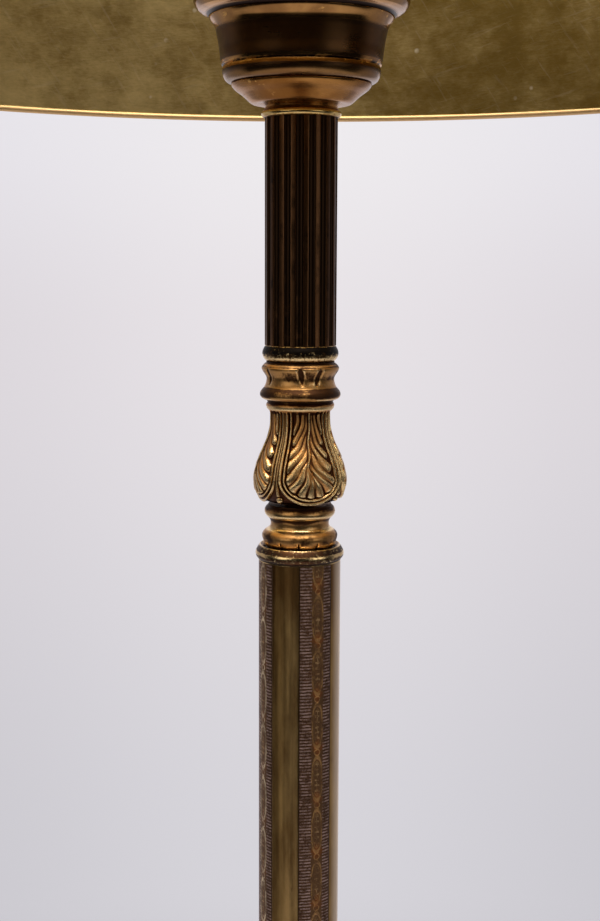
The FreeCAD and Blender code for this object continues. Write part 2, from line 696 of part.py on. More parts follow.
def finial():
    profile = [
        (0.8 * FINIAL_RADIUS, 0.00),
        (0.8 * FINIAL_RADIUS, 0.10),
        (0.55 * FINIAL_RADIUS, 0.20),
        (0.55 * FINIAL_RADIUS, 0.36),
        (FINIAL_RADIUS, 0.56),
        (FINIAL_RADIUS, 0.70),
        (0.50 * FINIAL_RADIUS, 0.94),
        (0, 1.00),
    ]
    outline = [(r, FINIAL_BASE + share * FINIAL_HEIGHT) for r, share in profile]
    body = turned([(0, FINIAL_BASE)] + outline)
    return body.cut(cylinder(ROD_RADIUS + TURNING_CLEARANCE, FINIAL_BASE, ROD_GRIP + TURNING_GAP))


PIECES = (
    felt_pad, base_weight, base_cover, cord_bushing, clamp_washer, rod_nuts, tie_rod,
    foot_baluster, engraved_tube, knop_foot, acanthus_knop, capital, column_lower_ring,
    fluted_column, column_upper_ring, cup_bell, cup_body, cup_cover, cluster_body, cluster_arms,
    lampholder_caps, lampholder_shells, lampholder_inserts, bulb_caps, bulb_globes, key_left,
    key_right, centre_pipe, shade_carrier, shade_shell, finial,
)


def main():
    os.makedirs("parts", exist_ok=True)
    shapes = {piece.__name__: piece() for piece in PIECES}
    shapes["tube_lower_collar"] = collar(TUBE_BASE, 1)
    shapes["tube_upper_collar"] = collar(UPPER_COLLAR_BASE, -1)
    for name, shape in shapes.items():
        shape.exportStep(f"parts/{name}.step")


main()
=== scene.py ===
"""The looks of a candlestick floor lamp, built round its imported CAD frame.

The lamp stands in its own frame: metres, Z up, its front toward -Y. Sizes inside the classes
are millimetres, as on a workshop drawing, and become metres where a mesh is made. Degrees
round the axis count from the front toward +X.
"""
import logging
import math
from collections.abc import Callable, Sequence
from dataclasses import dataclass
from enum import Enum
from typing import ClassVar

import bmesh
import bpy
import numpy as np
from mathutils import Matrix, Vector


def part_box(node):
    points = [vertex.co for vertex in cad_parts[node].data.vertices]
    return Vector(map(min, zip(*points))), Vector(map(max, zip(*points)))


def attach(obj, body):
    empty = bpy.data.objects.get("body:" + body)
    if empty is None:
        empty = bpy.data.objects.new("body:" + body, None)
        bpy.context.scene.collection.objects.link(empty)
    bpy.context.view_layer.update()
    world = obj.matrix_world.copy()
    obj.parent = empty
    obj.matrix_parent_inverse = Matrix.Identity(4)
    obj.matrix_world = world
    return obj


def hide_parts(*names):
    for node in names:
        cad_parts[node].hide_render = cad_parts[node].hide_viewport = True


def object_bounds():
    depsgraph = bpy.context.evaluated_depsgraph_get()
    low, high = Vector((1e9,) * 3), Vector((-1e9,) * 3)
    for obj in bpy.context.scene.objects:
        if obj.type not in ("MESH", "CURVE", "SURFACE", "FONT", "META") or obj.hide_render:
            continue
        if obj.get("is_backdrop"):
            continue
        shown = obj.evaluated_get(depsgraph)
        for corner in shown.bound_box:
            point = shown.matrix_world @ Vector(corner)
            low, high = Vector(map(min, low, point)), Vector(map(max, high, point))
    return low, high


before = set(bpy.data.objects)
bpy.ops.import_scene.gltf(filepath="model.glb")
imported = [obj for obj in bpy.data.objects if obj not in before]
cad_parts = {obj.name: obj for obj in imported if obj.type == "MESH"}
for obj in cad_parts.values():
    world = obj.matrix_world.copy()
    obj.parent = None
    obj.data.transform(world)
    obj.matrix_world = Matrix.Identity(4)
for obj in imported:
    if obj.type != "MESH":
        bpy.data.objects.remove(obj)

CAD_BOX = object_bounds()
MM = 0.001
ROD_BORE = 5.25
LOG = logging.getLogger("lamp")

Point = tuple[float, float]
Run = Sequence[Point]
Colour = tuple[float, float, float]
Array = np.ndarray
Relief = Callable[[Array, Array, Array], Array]


class Body(Enum):
    """The bodies of the lamp that move apart from each other."""

    STAND = "stand"
    SHADE = "shade"
    FINIAL = "finial"
    KEY_LEFT = "key_left"
    KEY_RIGHT = "key_right"


class Mark(Enum):
    """What is stored on a mesh's points for its finish to read."""

    CREST = "crest"
    HOLLOW = "hollow"
    PATINA = "patina"


# ---- Turned meshes --------------------------------------------------------------------------
# Faces that meet at more than this angle shade as an edge. Points nearer than the gap become
# one, and faces smaller than a sliver go; both are in metres.
EDGE_ANGLE = math.radians(38)
WELD_GAP = 1e-7
SLIVER = 1e-14

# The bend that counts in full as a crest or a hollow, in radians, and the share of it that is
# left on a carved piece. There, what stands above its surroundings is a crest as well, and what
# lies under them or on the carved ground is a hollow.
FULL_BEND = 1.2
KEPT_BEND = 0.35
CREST_GAIN = 4.5
HOLLOW_GAIN = 3.0
GROUND_GAIN = 0.55


def tint(red: int, green: int, blue: int) -> Colour:
    """A colour given as it looks on a screen, 0 to 255, as the linear values nodes work in."""
    shares = (channel / 255 for channel in (red, green, blue))
    return tuple(s / 12.92 if s <= 0.04045 else ((s + 0.055) / 1.055) ** 2.4 for s in shares)


def low_end(node: str) -> float:
    """The lowest level of a CAD node, in millimetres."""
    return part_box(node)[0].z / MM


def high_end(node: str) -> float:
    """The highest level of a CAD node, in millimetres."""
    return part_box(node)[1].z / MM


def rise_of(node: str) -> float:
    """The height of a CAD node, in millimetres."""
    return high_end(node) - low_end(node)


def flowing(run: Run, step: float) -> Array:
    """Draws one smooth curve through the points of a run.

    Args:
        run: The (radius, level) points, in millimetres. Two points make a straight line.
        step: The longest distance between the points that come back.

    Returns:
        The curve's points, one row each.
    """
    knots = np.array(run, float)
    if len(knots) == 2:
        return knots
    gaps = np.linalg.norm(np.diff(knots, axis=0), axis=1)[:, None]
    slopes = np.diff(knots, axis=0) / gaps
    tangents = np.empty_like(knots)
    tangents[1:-1] = (slopes[:-1] * gaps[1:] + slopes[1:] * gaps[:-1]) / (gaps[1:] + gaps[:-1])
    tangents[0] = 1.5 * slopes[0] - 0.5 * tangents[1]
    tangents[-1] = 1.5 * slopes[-1] - 0.5 * tangents[-2]
    pieces = []
    for index, gap in enumerate(gaps[:, 0]):
        count = max(1, math.ceil(gap / step))
        t = (np.arange(count) / count)[:, None]
        start, end = knots[index], knots[index + 1]
        leave, arrive = tangents[index] * gap, tangents[index + 1] * gap
        pieces.append(
            (2 * t**3 - 3 * t**2 + 1) * start
            + (t**3 - 2 * t**2 + t) * leave
            + (3 * t**2 - 2 * t**3) * end
            + (t**3 - t**2) * arrive
        )
    return np.vstack(pieces + [knots[-1:]])


@dataclass(frozen=True)
class Outline:
    """The half section of a turned piece.

    Attributes:
        outside: Smooth runs of (radius, level) points up the outside. Runs meet in an edge.
        inside: Points back down the bore, straight from one to the next.
        base: The level that the runs' levels count from.
        step: The longest distance between sampled points, in millimetres.
        reach: Half the width of the window in which a bend counts as a crest or a hollow.
        patina: (level, amount) pairs from low to high: 1 for dirt, -1 for rubbed metal; some tables
            also paint shade and light.
    """

    outside: Sequence[Run]
    inside: Run = ()
    base: float = 0.0
    step: float = 0.35
    reach: float = 0.6
    patina: Run = ((0.0, 0.0),)

    def points(self) -> tuple[Array, int]:
        """Samples the closed outline.

        Returns:
            The points in order up the outside and down the inside, and how many of them
            belong to the outside.
        """
        runs = [flowing(run, self.step) for run in self.outside]
        joined = np.vstack([runs[0]] + [
            run[1:] if np.allclose(run[0], before[-1]) else run
            for before, run in zip(runs, runs[1:])
        ])
        count = len(joined)
        if len(self.inside):
            joined = np.vstack([joined, np.array(self.inside, float)])
        return joined + [0.0, self.base], count

    def bend(self, points: Array) -> Array:
        """How far the outline turns within reach of each point, positive where it bulges.

        Args:
            points: The closed outline's points.

        Returns:
            One angle for each point, in radians.
        """
        loop = np.vstack([points, points[:1]])
        along = np.r_[0.0, np.cumsum(np.linalg.norm(np.diff(loop, axis=0), axis=1))]
        whole = along[-1]

        def at(place: Array) -> Array:
            """The outline's points at distances along it."""
            place = np.mod(place, whole)
            return np.stack([np.interp(place, along, loop[:, k]) for k in (0, 1)], axis=1)

        here = along[:-1]
        arriving = points - at(here - self.reach)
        leaving = at(here + self.reach) - points
        cross = arriving[:, 0] * leaving[:, 1] - arriving[:, 1] * leaving[:, 0]
        return np.arctan2(cross, np.einsum("ij,ij->i", arriving, leaving))

    def age(self, level: Array) -> Array:
        """The amount of patina at levels above the base."""
        levels, amounts = zip(*self.patina)
        return np.interp(level, levels, amounts)


def mesh_object(name: str, grid: Array, marks: dict[Mark, Array]) -> bpy.types.Object:
    """Makes a mesh from a grid of points that closes on itself both ways.

    Args:
        name: The piece's name.
        grid: Points in millimetres, rows along the outline and columns round the axis.
        marks: Values for each point of the grid.

    Returns:
        The new object, linked to the scene.
    """
    rows, columns = grid.shape[:2]
    row, column = np.meshgrid(np.arange(rows), np.arange(columns), indexing="ij")
    after, beside = (row + 1) % rows, (column + 1) % columns
    corners = [(row, column), (row, beside), (after, beside), (after, column)]
    faces = np.stack([r * columns + c for r, c in corners], axis=-1).reshape(-1, 4)
    mesh = bpy.data.meshes.new(name)
    mesh.from_pydata((grid.reshape(-1, 3) * MM).tolist(), [], faces.tolist())
    for mark, values in marks.items():
        layer = mesh.attributes.new(mark.value, "FLOAT", "POINT")
        layer.data.foreach_set("value", values.astype(np.float32).ravel())
    mesh.validate()
    weld(mesh)
    mesh.shade_smooth()
    mesh.set_sharp_from_angle(angle=EDGE_ANGLE)
    piece = bpy.data.objects.new(name, mesh)
    bpy.context.scene.collection.objects.link(piece)
    return piece


def weld(mesh: bpy.types.Mesh) -> None:
    """Joins points that lie in one place, such as a ring that has shrunk to the axis."""
    work = bmesh.new()
    work.from_mesh(mesh)
    bmesh.ops.remove_doubles(work, verts=work.verts, dist=WELD_GAP)
    flat = [face for face in work.faces if face.calc_area() < SLIVER]
    bmesh.ops.delete(work, geom=flat, context="FACES")
    work.to_mesh(mesh)
    work.free()


def turned(
    name: str,
    outline: Outline,
    segments: int = 160,
    relief: Relief | None = None,
    depth: float = 1.0,
    window: int = 3,
) -> bpy.types.Object:
    """Turns an outline about the lamp's axis.

    Args:
        name: The piece's name.
        outline: The half section.
        segments: Points round the axis.
        relief: Gives a height of 0 to 1 for degrees from the front, levels above the base and
            radii. The outside stands that share of the depth above the carved ground.
        depth: The relief's depth in millimetres.
        window: How many points to each side a crest or a hollow of the relief is told from.

    Returns:
        The piece. Its points carry how much they stand on a crest or in a hollow.
    """
    points, outside = outline.points()
    bend = outline.bend(points) / FULL_BEND
    angles = np.arange(segments) * 2 * math.pi / segments
    radius, level, crest, hollow = (
        np.repeat(values[:, None], segments, axis=1)
        for values in (*points.T, np.clip(bend, 0, 1), np.clip(-bend, 0, 1))
    )
    if relief is not None:
        heights = np.ones_like(radius)
        above = level[:outside] - outline.base
        heights[:outside] = relief(np.degrees(angles)[None, :], above, radius[:outside])
        sink = (heights - 1.0) * depth
        ahead = np.roll(points, -1, axis=0) - np.roll(points, 1, axis=0)
        ahead /= np.linalg.norm(ahead, axis=1)[:, None]
        radius = radius + sink * ahead[:, 1:]
        level = level - sink * ahead[:, :1]
        proud = heights - local_mean(heights, window)
        crests = KEPT_BEND * crest + CREST_GAIN * proud
        hollows = KEPT_BEND * hollow + GROUND_GAIN * (1 - heights) - HOLLOW_GAIN * proud
        crest[:outside] = np.clip(crests, 0, 1)[:outside]
        hollow[:outside] = np.clip(hollows, 0, 1)[:outside]
    grid = np.stack([radius * np.sin(angles), -radius * np.cos(angles), level], axis=-1)
    age = outline.age(level - outline.base)
    return mesh_object(name, grid, {Mark.CREST: crest, Mark.HOLLOW: hollow, Mark.PATINA: age})


def local_mean(values: Array, reach: int) -> Array:
    """The mean of each value and its neighbours within reach, round the axis and along it."""
    total = np.zeros_like(values)
    for shift in range(-reach, reach + 1):
        total += np.roll(values, shift, axis=1)
    padded = np.pad(total, ((reach, reach), (0, 0)), mode="edge")
    window = 2 * reach + 1
    summed = sum(padded[k:k + len(values)] for k in range(window))
    return summed / window**2


# ---- Node trees -----------------------------------------------------------------------------
class Value:
    """A number, vector or colour in a node tree. Sums are written with it as with a number."""

    def __init__(self, recipe: "Recipe", socket: bpy.types.NodeSocket) -> None:
        """Keeps the socket that gives the value, and its tree."""
        self.recipe, self.socket = recipe, socket

    def __add__(self, other: "Feed") -> "Value":
        """The sum."""
        return self.recipe.maths("ADD", self, other)

    def __sub__(self, other: "Feed") -> "Value":
        """The difference."""
        return self.recipe.maths("SUBTRACT", self, other)

    def __mul__(self, other: "Feed") -> "Value":
        """The product."""
        return self.recipe.maths("MULTIPLY", self, other)

    def __truediv__(self, other: "Feed") -> "Value":
        """The quotient."""
        return self.recipe.maths("DIVIDE", self, other)

    def __pow__(self, exponent: float) -> "Value":
        """The value raised to a power."""
        return self.recipe.maths("POWER", self, exponent)

    def __abs__(self) -> "Value":
        """The value without its sign."""
        return self.recipe.maths("ABSOLUTE", self)

    def sine(self) -> "Value":
        """The sine."""
        return self.recipe.maths("SINE", self)

    def most(self, other: "Feed") -> "Value":
        """The greater of two values."""
        return self.recipe.maths("MAXIMUM", self, other)

    def wrap(self, low: float, high: float) -> "Value":
        """The value brought between low and high by whole turns of that length."""
        return self.recipe.maths("WRAP", self, high, low)

    def between(self, low: float, high: float) -> "Value":
        """0 below low, 1 above high, and smooth between them. High may be the smaller."""
        ends = {"Value": self, "From Min": low, "From Max": high}
        return self.recipe.step("MapRange", ends, "Result", interpolation_type="SMOOTHSTEP")


Feed = Value | float | Colour


class Recipe:
    """The node tree of a material or of the studio's surroundings."""

    def __init__(self, owner: bpy.types.Material | bpy.types.World) -> None:
        """Empties the owner's node tree."""
        owner.use_nodes = True
        self.owner = owner
        self.tree = owner.node_tree
        self.tree.nodes.clear()

    def feed(self, socket: bpy.types.NodeSocket, value: Feed) -> None:
        """Links a socket, or sets the value on the socket itself."""
        if isinstance(value, Value):
            self.tree.links.new(value.socket, socket)
        elif isinstance(value, tuple) and socket.type == "RGBA":
            socket.default_value = (*value, 1.0)
        else:
            socket.default_value = value

    def step(
        self, kind: str, inputs: dict[str | int, Feed], output: str | int = 0, **settings: object,
    ) -> Value:
        """Adds a node, feeds it and reads it.

        Args:
            kind: The node's type.
            inputs: What goes into its sockets, by their names or numbers.
            output: The socket that is read.
            **settings: The node's properties.

        Returns:
            What the node gives.
        """
        node = self.tree.nodes.new("ShaderNode" + kind)
        for name, value in settings.items():
            setattr(node, name, value)
        for key, value in inputs.items():
            self.feed(node.inputs[key], value)
        return Value(self, node.outputs[output])

    def place(self, stretch: Colour = (1, 1, 1), turn: Colour = (0, 0, 0)) -> Value:
        """Places on the piece, in metres, turned and then times a stretch for each axis.

        Args:
            stretch: The factors. A small one draws a pattern out along that axis.
            turn: Degrees that the pattern is turned about each axis.

        Returns:
            The places.
        """
        inputs = {
            "Vector": self.step("TexCoord", {}, "Object"),
            "Scale": tuple(1 / factor for factor in stretch),
            "Rotation": tuple(math.radians(degrees) for degrees in turn),
        }
        return self.step("Mapping", inputs, "Vector", vector_type="TEXTURE")

    def axes(self, space: str = "Object") -> tuple[Value, Value, Value]:
        """The three parts of a place on the piece, or of another coordinate."""
        whole = self.step("SeparateXYZ", {"Vector": self.step("TexCoord", {}, space)})
        return tuple(Value(self, part) for part in whole.socket.node.outputs)

    def mark(self, mark: Mark) -> Value:
        """A value that the mesh carries on its points."""
        return self.step("Attribute", {}, "Fac", attribute_name=mark.value)

    def noise(self, scale: float, detail: float, rough: float, *place: Colour) -> Value:
        """Cloudy noise, about 0.3 to 0.7.

        Args:
            scale: Repeats to the metre.
            detail: How many finer layers it has.
            rough: How strong they are.
            *place: The stretch and the turn of the places it is read at.

        Returns:
            The noise.
        """
        inputs = {
            "Vector": self.place(*place), "Scale": scale, "Detail": detail, "Roughness": rough,
        }
        return self.step("TexNoise", inputs, "Fac")

    def cells(self, scale: float) -> Value:
        """The distance to the nearest of many scattered points."""
        return self.step("TexVoronoi", {"Vector": self.place(), "Scale": scale}, "Distance")

    def maths(self, operation: str, *values: Feed) -> Value:
        """One step of arithmetic."""
        return self.step("Math", dict(enumerate(values)), operation=operation)

    def total(self, *terms: tuple[Feed, float]) -> Value:
        """The sum of values, each times its weight."""
        result = self.maths("MULTIPLY", *terms[0])
        for value, weight in terms[1:]:
            result = self.maths("MULTIPLY_ADD", value, weight, result)
        return result

    def mix(self, share: Feed, first: Feed, second: Feed, kind: str = "RGBA") -> Value:
        """A colour between two, by a share."""
        mixer = self.tree.nodes.new("ShaderNodeMix")
        mixer.data_type = kind
        inputs = [socket for socket in mixer.inputs if socket.enabled]
        for socket, value in zip(inputs, (share, first, second)):
            self.feed(socket, value)
        return Value(self, next(socket for socket in mixer.outputs if socket.enabled))

    def amount(self, share: Feed, first: Feed, second: Feed) -> Value:
        """A number between two, by a share."""
        return self.mix(share, first, second, "FLOAT")

    def bump(self, height: Value, depth: float, under: Value | None = None) -> Value:
        """Bends the surface's shading by a height of 0 to 1 times a depth in millimetres."""
        inputs = {"Distance": depth * MM, "Height": height}
        if under is not None:
            inputs["Normal"] = under
        return self.step("Bump", inputs, "Normal")

    def surface(self, **settings: Feed) -> bpy.types.Material:
        """Ends the tree with a principled shader.

        Args:
            **settings: Values for the shader's sockets, with _ for a space in a name.

        Returns:
            The finished material.
        """
        inputs = {name.replace("_", " "): value for name, value in settings.items()}
        self.end("OutputMaterial", self.step("BsdfPrincipled", inputs))
        return self.owner

    def end(self, kind: str, shader: Value) -> None:
        """Ends the tree with an output for a shader."""
        output = self.tree.nodes.new("ShaderNode" + kind)
        self.feed(output.inputs["Surface"], shader)


# ---- Finishes -------------------------------------------------------------------------------
@dataclass(frozen=True)
class Finish:
    """What a piece's surface is made of.

    Attributes:
        name: The material's name.
        slot: The record's material slot.
    """

    name: str
    slot: str

    def material(self) -> bpy.types.Material:
        """The material, made the first time that it is asked for."""
        known = bpy.data.materials.get(self.name)
        return known or self.make(Recipe(bpy.data.materials.new(self.name)))

    def make(self, recipe: Recipe) -> bpy.types.Material:
        """Builds the node tree."""
        raise NotImplementedError


@dataclass(frozen=True)
class AgedMetal(Finish):
    """Cast or turned metal with dark patina in its hollows and bare metal on its crests.

    Attributes:
        bright: The bare metal's colour.
        middle: The colour of metal that is neither rubbed nor dirty.
        dark: The patina's colour.
        rubbed: How readily crests show bare metal.
        dirty: How much of the level surface is dark, about -0.5 to 0.5.
        packed: How readily hollows fill with patina.
        flake: How ragged the edges of both are.
        fleck_size: Size of the flecks in millimetres.
        polish: Roughness of the bare metal.
        dull: Roughness of the patina.
        grain: Depth of the casting's skin in millimetres.
        turning: Depth of the fine lines that the lathe left.
        cloudy: How much the patina varies from place to place.
    """

    bright: Colour = tint(242, 206, 146)
    middle: Colour = tint(192, 142, 84)
    dark: Colour = tint(72, 46, 28)
    rubbed: float = 1.0
    dirty: float = 0.0
    packed: float = 1.0
    flake: float = 0.8
    fleck_size: float = 0.7
    polish: float = 0.2
    dull: float = 0.5
    grain: float = 0.05
    turning: float = 0.0
    cloudy: float = 2.0

    def make(self, recipe: Recipe) -> bpy.types.Material:
        """Builds the node tree."""
        crest, hollow = recipe.mark(Mark.CREST), recipe.mark(Mark.HOLLOW)
        patina = recipe.mark(Mark.PATINA)
        clouds = recipe.noise(90, 4, 0.6)
        flecks = recipe.noise(1000 / self.fleck_size, 5, 0.72)
        soot = recipe.total(
            (hollow, self.packed), (crest, -self.rubbed), (patina, 0.8), (clouds, self.cloudy),
            (flecks, self.flake), (1.0, self.dirty - 0.5 * self.cloudy - 0.5 * self.flake),
        )
        soot = soot.between(-0.02, 0.42)
        bare = recipe.total(
            (crest, self.rubbed), (hollow, -1.0), (patina, -0.7), (clouds, 0.45 * self.cloudy),
            (flecks, 1.6 * self.flake), (1.0, -0.225 * self.cloudy - 0.8 * self.flake),
        )
        bare = bare.between(0.12, 0.5)
        colour = recipe.mix(soot, self.middle, self.dark)
        colour = recipe.mix(bare, colour, self.bright)
        rough = recipe.amount(soot, 0.5 * (self.polish + self.dull), self.dull)
        rough = recipe.amount(bare, rough, self.polish)
        rough = recipe.total((rough, 1.0), (flecks, 0.3), (1.0, -0.15))
        height = recipe.total((flecks, 1.0), (clouds, 1.0))
        normal = recipe.bump(height, self.grain)
        if self.turning:
            rings = recipe.noise(60, 2, 0.6, (1, 1, 60))
            normal = recipe.bump(rings, self.turning, normal)
        return recipe.surface(
            Base_Color=colour, Roughness=rough, Metallic=1.0, Normal=normal,
        )


@dataclass(frozen=True)
class EngravedBrass(Finish):
    """The tube's finish: plain bands, and bands engraved with ribs and a chain of cartouches.

    Attributes:
        radius: The tube's radius in millimetres.
        centre: Degrees from the front to the middle of the first engraved band.
        width: Degrees that an engraved band covers.
        top: The level of the tube's upper end.
        pitch: From rib to rib.
        period: From cartouche to cartouche.
        first: From the tube's upper end down to the middle of the first cartouche.
        drift: How far the chain stands off the middle of every other band.
        aside: The same in the bands between.
        long: Half a cartouche's length.
        wide: Half its width.
        joint: Radius of the ring between two cartouches.
        bars: From bar to bar across a cartouche's stem.
        groove: Half the width of the line along a band's edge.
        faded: From the tube's upper end down to where painted shade no longer darkens a plain band.
    """

    radius: float = 17.5
    centre: float = 24.4
    width: float = 49.0
    top: float = 1023.4
    pitch: float = 1.39
    period: float = 23.4
    first: float = -1.0
    drift: float = 1.2
    aside: float = 0.7
    long: float = 9.6
    wide: float = 2.4
    joint: float = 1.25
    bars: float = 2.4
    groove: float = 0.22
    faded: float = 34.0

    SOIL = tint(78, 54, 40), tint(120, 88, 64)
    CHAIN_SOIL = tint(128, 94, 64)
    COPPER = tint(160, 96, 52)
    RIB = tint(206, 172, 158)
    STEM = tint(196, 156, 108)
    GILT = tint(218, 166, 104), tint(250, 224, 184)
    # Left and right colours of a plain band, lighter toward its right: a painted reflection.
    PLAIN_DARK_PAINTED_REFLECTION = tint(126, 88, 45), tint(158, 116, 66)
    PLAIN_PALE_PAINTED_REFLECTION = tint(196, 154, 90), tint(248, 202, 130)
    PAINTED_EDGE_SHADE = tint(88, 70, 46)
    PAINTED_SHEEN = tint(232, 212, 186)
    CUT = tint(48, 33, 22)

    def line(self, away: Value, half: float) -> Value:
        """A soft engraved line, half a width to each side of where a distance is 0."""
        return abs(away).between(1.5 * half, 0.5 * half)

    def half_band(self) -> float:
        """Half the width of an engraved band, in millimetres round the tube."""
        return math.radians(self.width / 2) * self.radius

    def chain(self, across: Value, along: Value) -> tuple[Value, Value]:
        """Draws the cartouches, the rings between them and the stems inside.

        Args:
            across: Millimetres from the chain's middle.
            along: Millimetres from the nearest cartouche's middle.

        Returns:
            Shares for the outlines and for the stems.
        """
        oval = (abs(along / self.long) ** 2.6 + abs(across / self.wide) ** 2.0) ** 0.5
        from_joint = abs(along) - self.period / 2
        ring = (from_joint * from_joint + across * across) ** 0.5 - self.joint
        outline = self.line(oval - 1.0, 0.12).most(self.line(ring, 0.22))
        outline = outline.most(self.line(oval - 0.72, 0.05) * 0.45)
        bars = (along * (2 * math.pi / self.bars)).sine().between(0.3, 0.8)
        bars = bars * abs(across).between(self.wide / 2, self.wide / 2 - 0.3)
        return outline, self.line(across, 0.2).most(bars) * oval.between(0.70, 0.62)

    def engraved(
        self, recipe: Recipe, middle: Value, odd: Value, down: Value,
    ) -> tuple[Value, Value]:
        """Draws the engraved bands.

        Args:
            recipe: The material's tree.
            middle: Millimetres from the nearest band's middle.
            odd: 1 on every other band and 0 on the rest.
            down: Millimetres below the middle of the first cartouche.

        Returns:
            Their colour and their height.
        """
        half, apart = self.half_band(), self.period / 2
        worn = recipe.noise(320, 3, 0.6)
        flecks = recipe.noise(1500, 4, 0.7)
        shaky = recipe.total((recipe.noise(700, 2, 0.5), 1.5), (1.0, -0.75))
        across = recipe.total((middle, 1.0), (odd, self.aside - self.drift), (1.0, -self.aside))
        from_chain = abs(across)
        wave = recipe.total((down, 2 * math.pi / self.pitch), (shaky, 1.3))
        beside_chain = (from_chain + shaky).between(2.5, 2.9)
        ribs = wave.sine().between(-0.3, 0.8)
        ribs = ribs * (beside_chain * abs(middle).between(half - 0.2, half - 0.5))
        shifted = recipe.total((down, 1.0), (odd, apart), (shaky, 0.5))
        bent = recipe.total((across, 1.0), (shaky, 0.55))
        outline, stems = self.chain(bent, shifted.wrap(-apart, apart))

        red = abs((shifted + 2.5).wrap(0.0, self.period) - apart)
        red = recipe.total((red, 0.24), (from_chain, 0.36), (worn, -2.6), (1.0, 1.3))
        red = red.between(1.5, 0.5) * recipe.total((odd, -0.4), (1.0, 0.7))
        rub = recipe.total((flecks, 0.8), (worn, 1.6), (1.0, -0.75))
        kept = rub.between(0.1, 0.7) * recipe.total((odd, 0.25), (1.0, 0.75))
        colour = recipe.mix(flecks.between(0.35, 0.65), *self.SOIL)
        for share, over in (
            (from_chain.between(3.6, 2.0), self.CHAIN_SOIL), (red, self.COPPER),
            (ribs * rub.between(0.1, 0.75), self.RIB), (stems * rub.between(0.3, 0.7), self.STEM),
            (outline * kept, recipe.mix(odd, *self.GILT)),
        ):
            colour = recipe.mix(share, colour, over)
        return colour, recipe.total((ribs, 0.7), (outline, 1.0), (stems, 0.8), (flecks, 0.35))

    def plain(self, recipe: Recipe, angle: Value, down: Value, streaks: Value) -> Value:
        """Draws the plain bands, with painted reflection, shade and sheen on them.

        Args:
            recipe: The material's tree.
            angle: Radians from the middle of the first engraved band.
            down: Millimetres below the middle of the first cartouche.
            streaks: Noise drawn out along the tube.

        Returns:
            Their colour.
        """
        quarter = math.pi / 4
        across = angle.wrap(0.0, 2 * quarter) - quarter
        clouds = recipe.noise(120, 4, 0.6, (1, 1, 0.35))
        # Painted shade: the plain bands are darker near the tube's upper end, under the collar.
        painted_shade_near_top = down.between(-self.first + self.faded, -self.first + 1.0)
        tone = recipe.total((streaks, 0.7), (clouds, 1.2), (painted_shade_near_top, -0.45), (1.0, -0.42))
        # Painted reflection: each plain band grows lighter from its left side to its right.
        dark = recipe.mix(across.between(-0.25, 0.22), *self.PLAIN_DARK_PAINTED_REFLECTION)
        pale = recipe.mix(across.between(-0.3, 0.3), *self.PLAIN_PALE_PAINTED_REFLECTION)
        colour = recipe.mix(tone.between(0.05, 0.95), dark, pale)
        # Painted shade: a darker strip along each plain band's right edge.
        colour = recipe.mix(across.between(0.27, 0.37) * 0.5, colour, self.PAINTED_EDGE_SHADE)
        # Painted sheen along the tube's +X side, on its plain bands.
        painted_sheen_right = recipe.axes()[0].between(0.0135, 0.0165)
        return recipe.mix(painted_sheen_right * 0.6, colour, self.PAINTED_SHEEN)

    def make(self, recipe: Recipe) -> bpy.types.Material:
        """Builds the node tree."""
        x, y, z = recipe.axes()
        quarter = math.pi / 4
        angle = recipe.maths("ARCTAN2", x, y * -1.0) - math.radians(self.centre)
        middle = angle.wrap(-quarter, quarter) * self.radius
        odd = recipe.maths("GREATER_THAN", angle.wrap(-quarter, 3 * quarter), quarter)
        down = recipe.maths("MULTIPLY_ADD", z, -1 / MM, self.top - self.first)
        sideways, half = abs(middle), self.half_band()
        band = sideways.between(half + 0.08, half - 0.08)
        groove = self.line(sideways - half, self.groove)
        streaks = recipe.noise(420, 4, 0.6, (1, 1, 0.02))
        engraved, height = self.engraved(recipe, middle, odd, down)
        colour = recipe.mix(band, self.plain(recipe, angle, down, streaks), engraved)
        colour = recipe.mix(groove * 0.7, colour, self.CUT)
        rough = recipe.amount(band, recipe.total((streaks, 0.4), (1.0, 0.16)), 0.46)
        height = recipe.total((height * band, 1.0), (groove, -0.8), (streaks, 0.1))
        normal = recipe.bump(height, 0.14)
        return recipe.surface(Base_Color=colour, Roughness=rough, Metallic=1.0, Normal=normal)


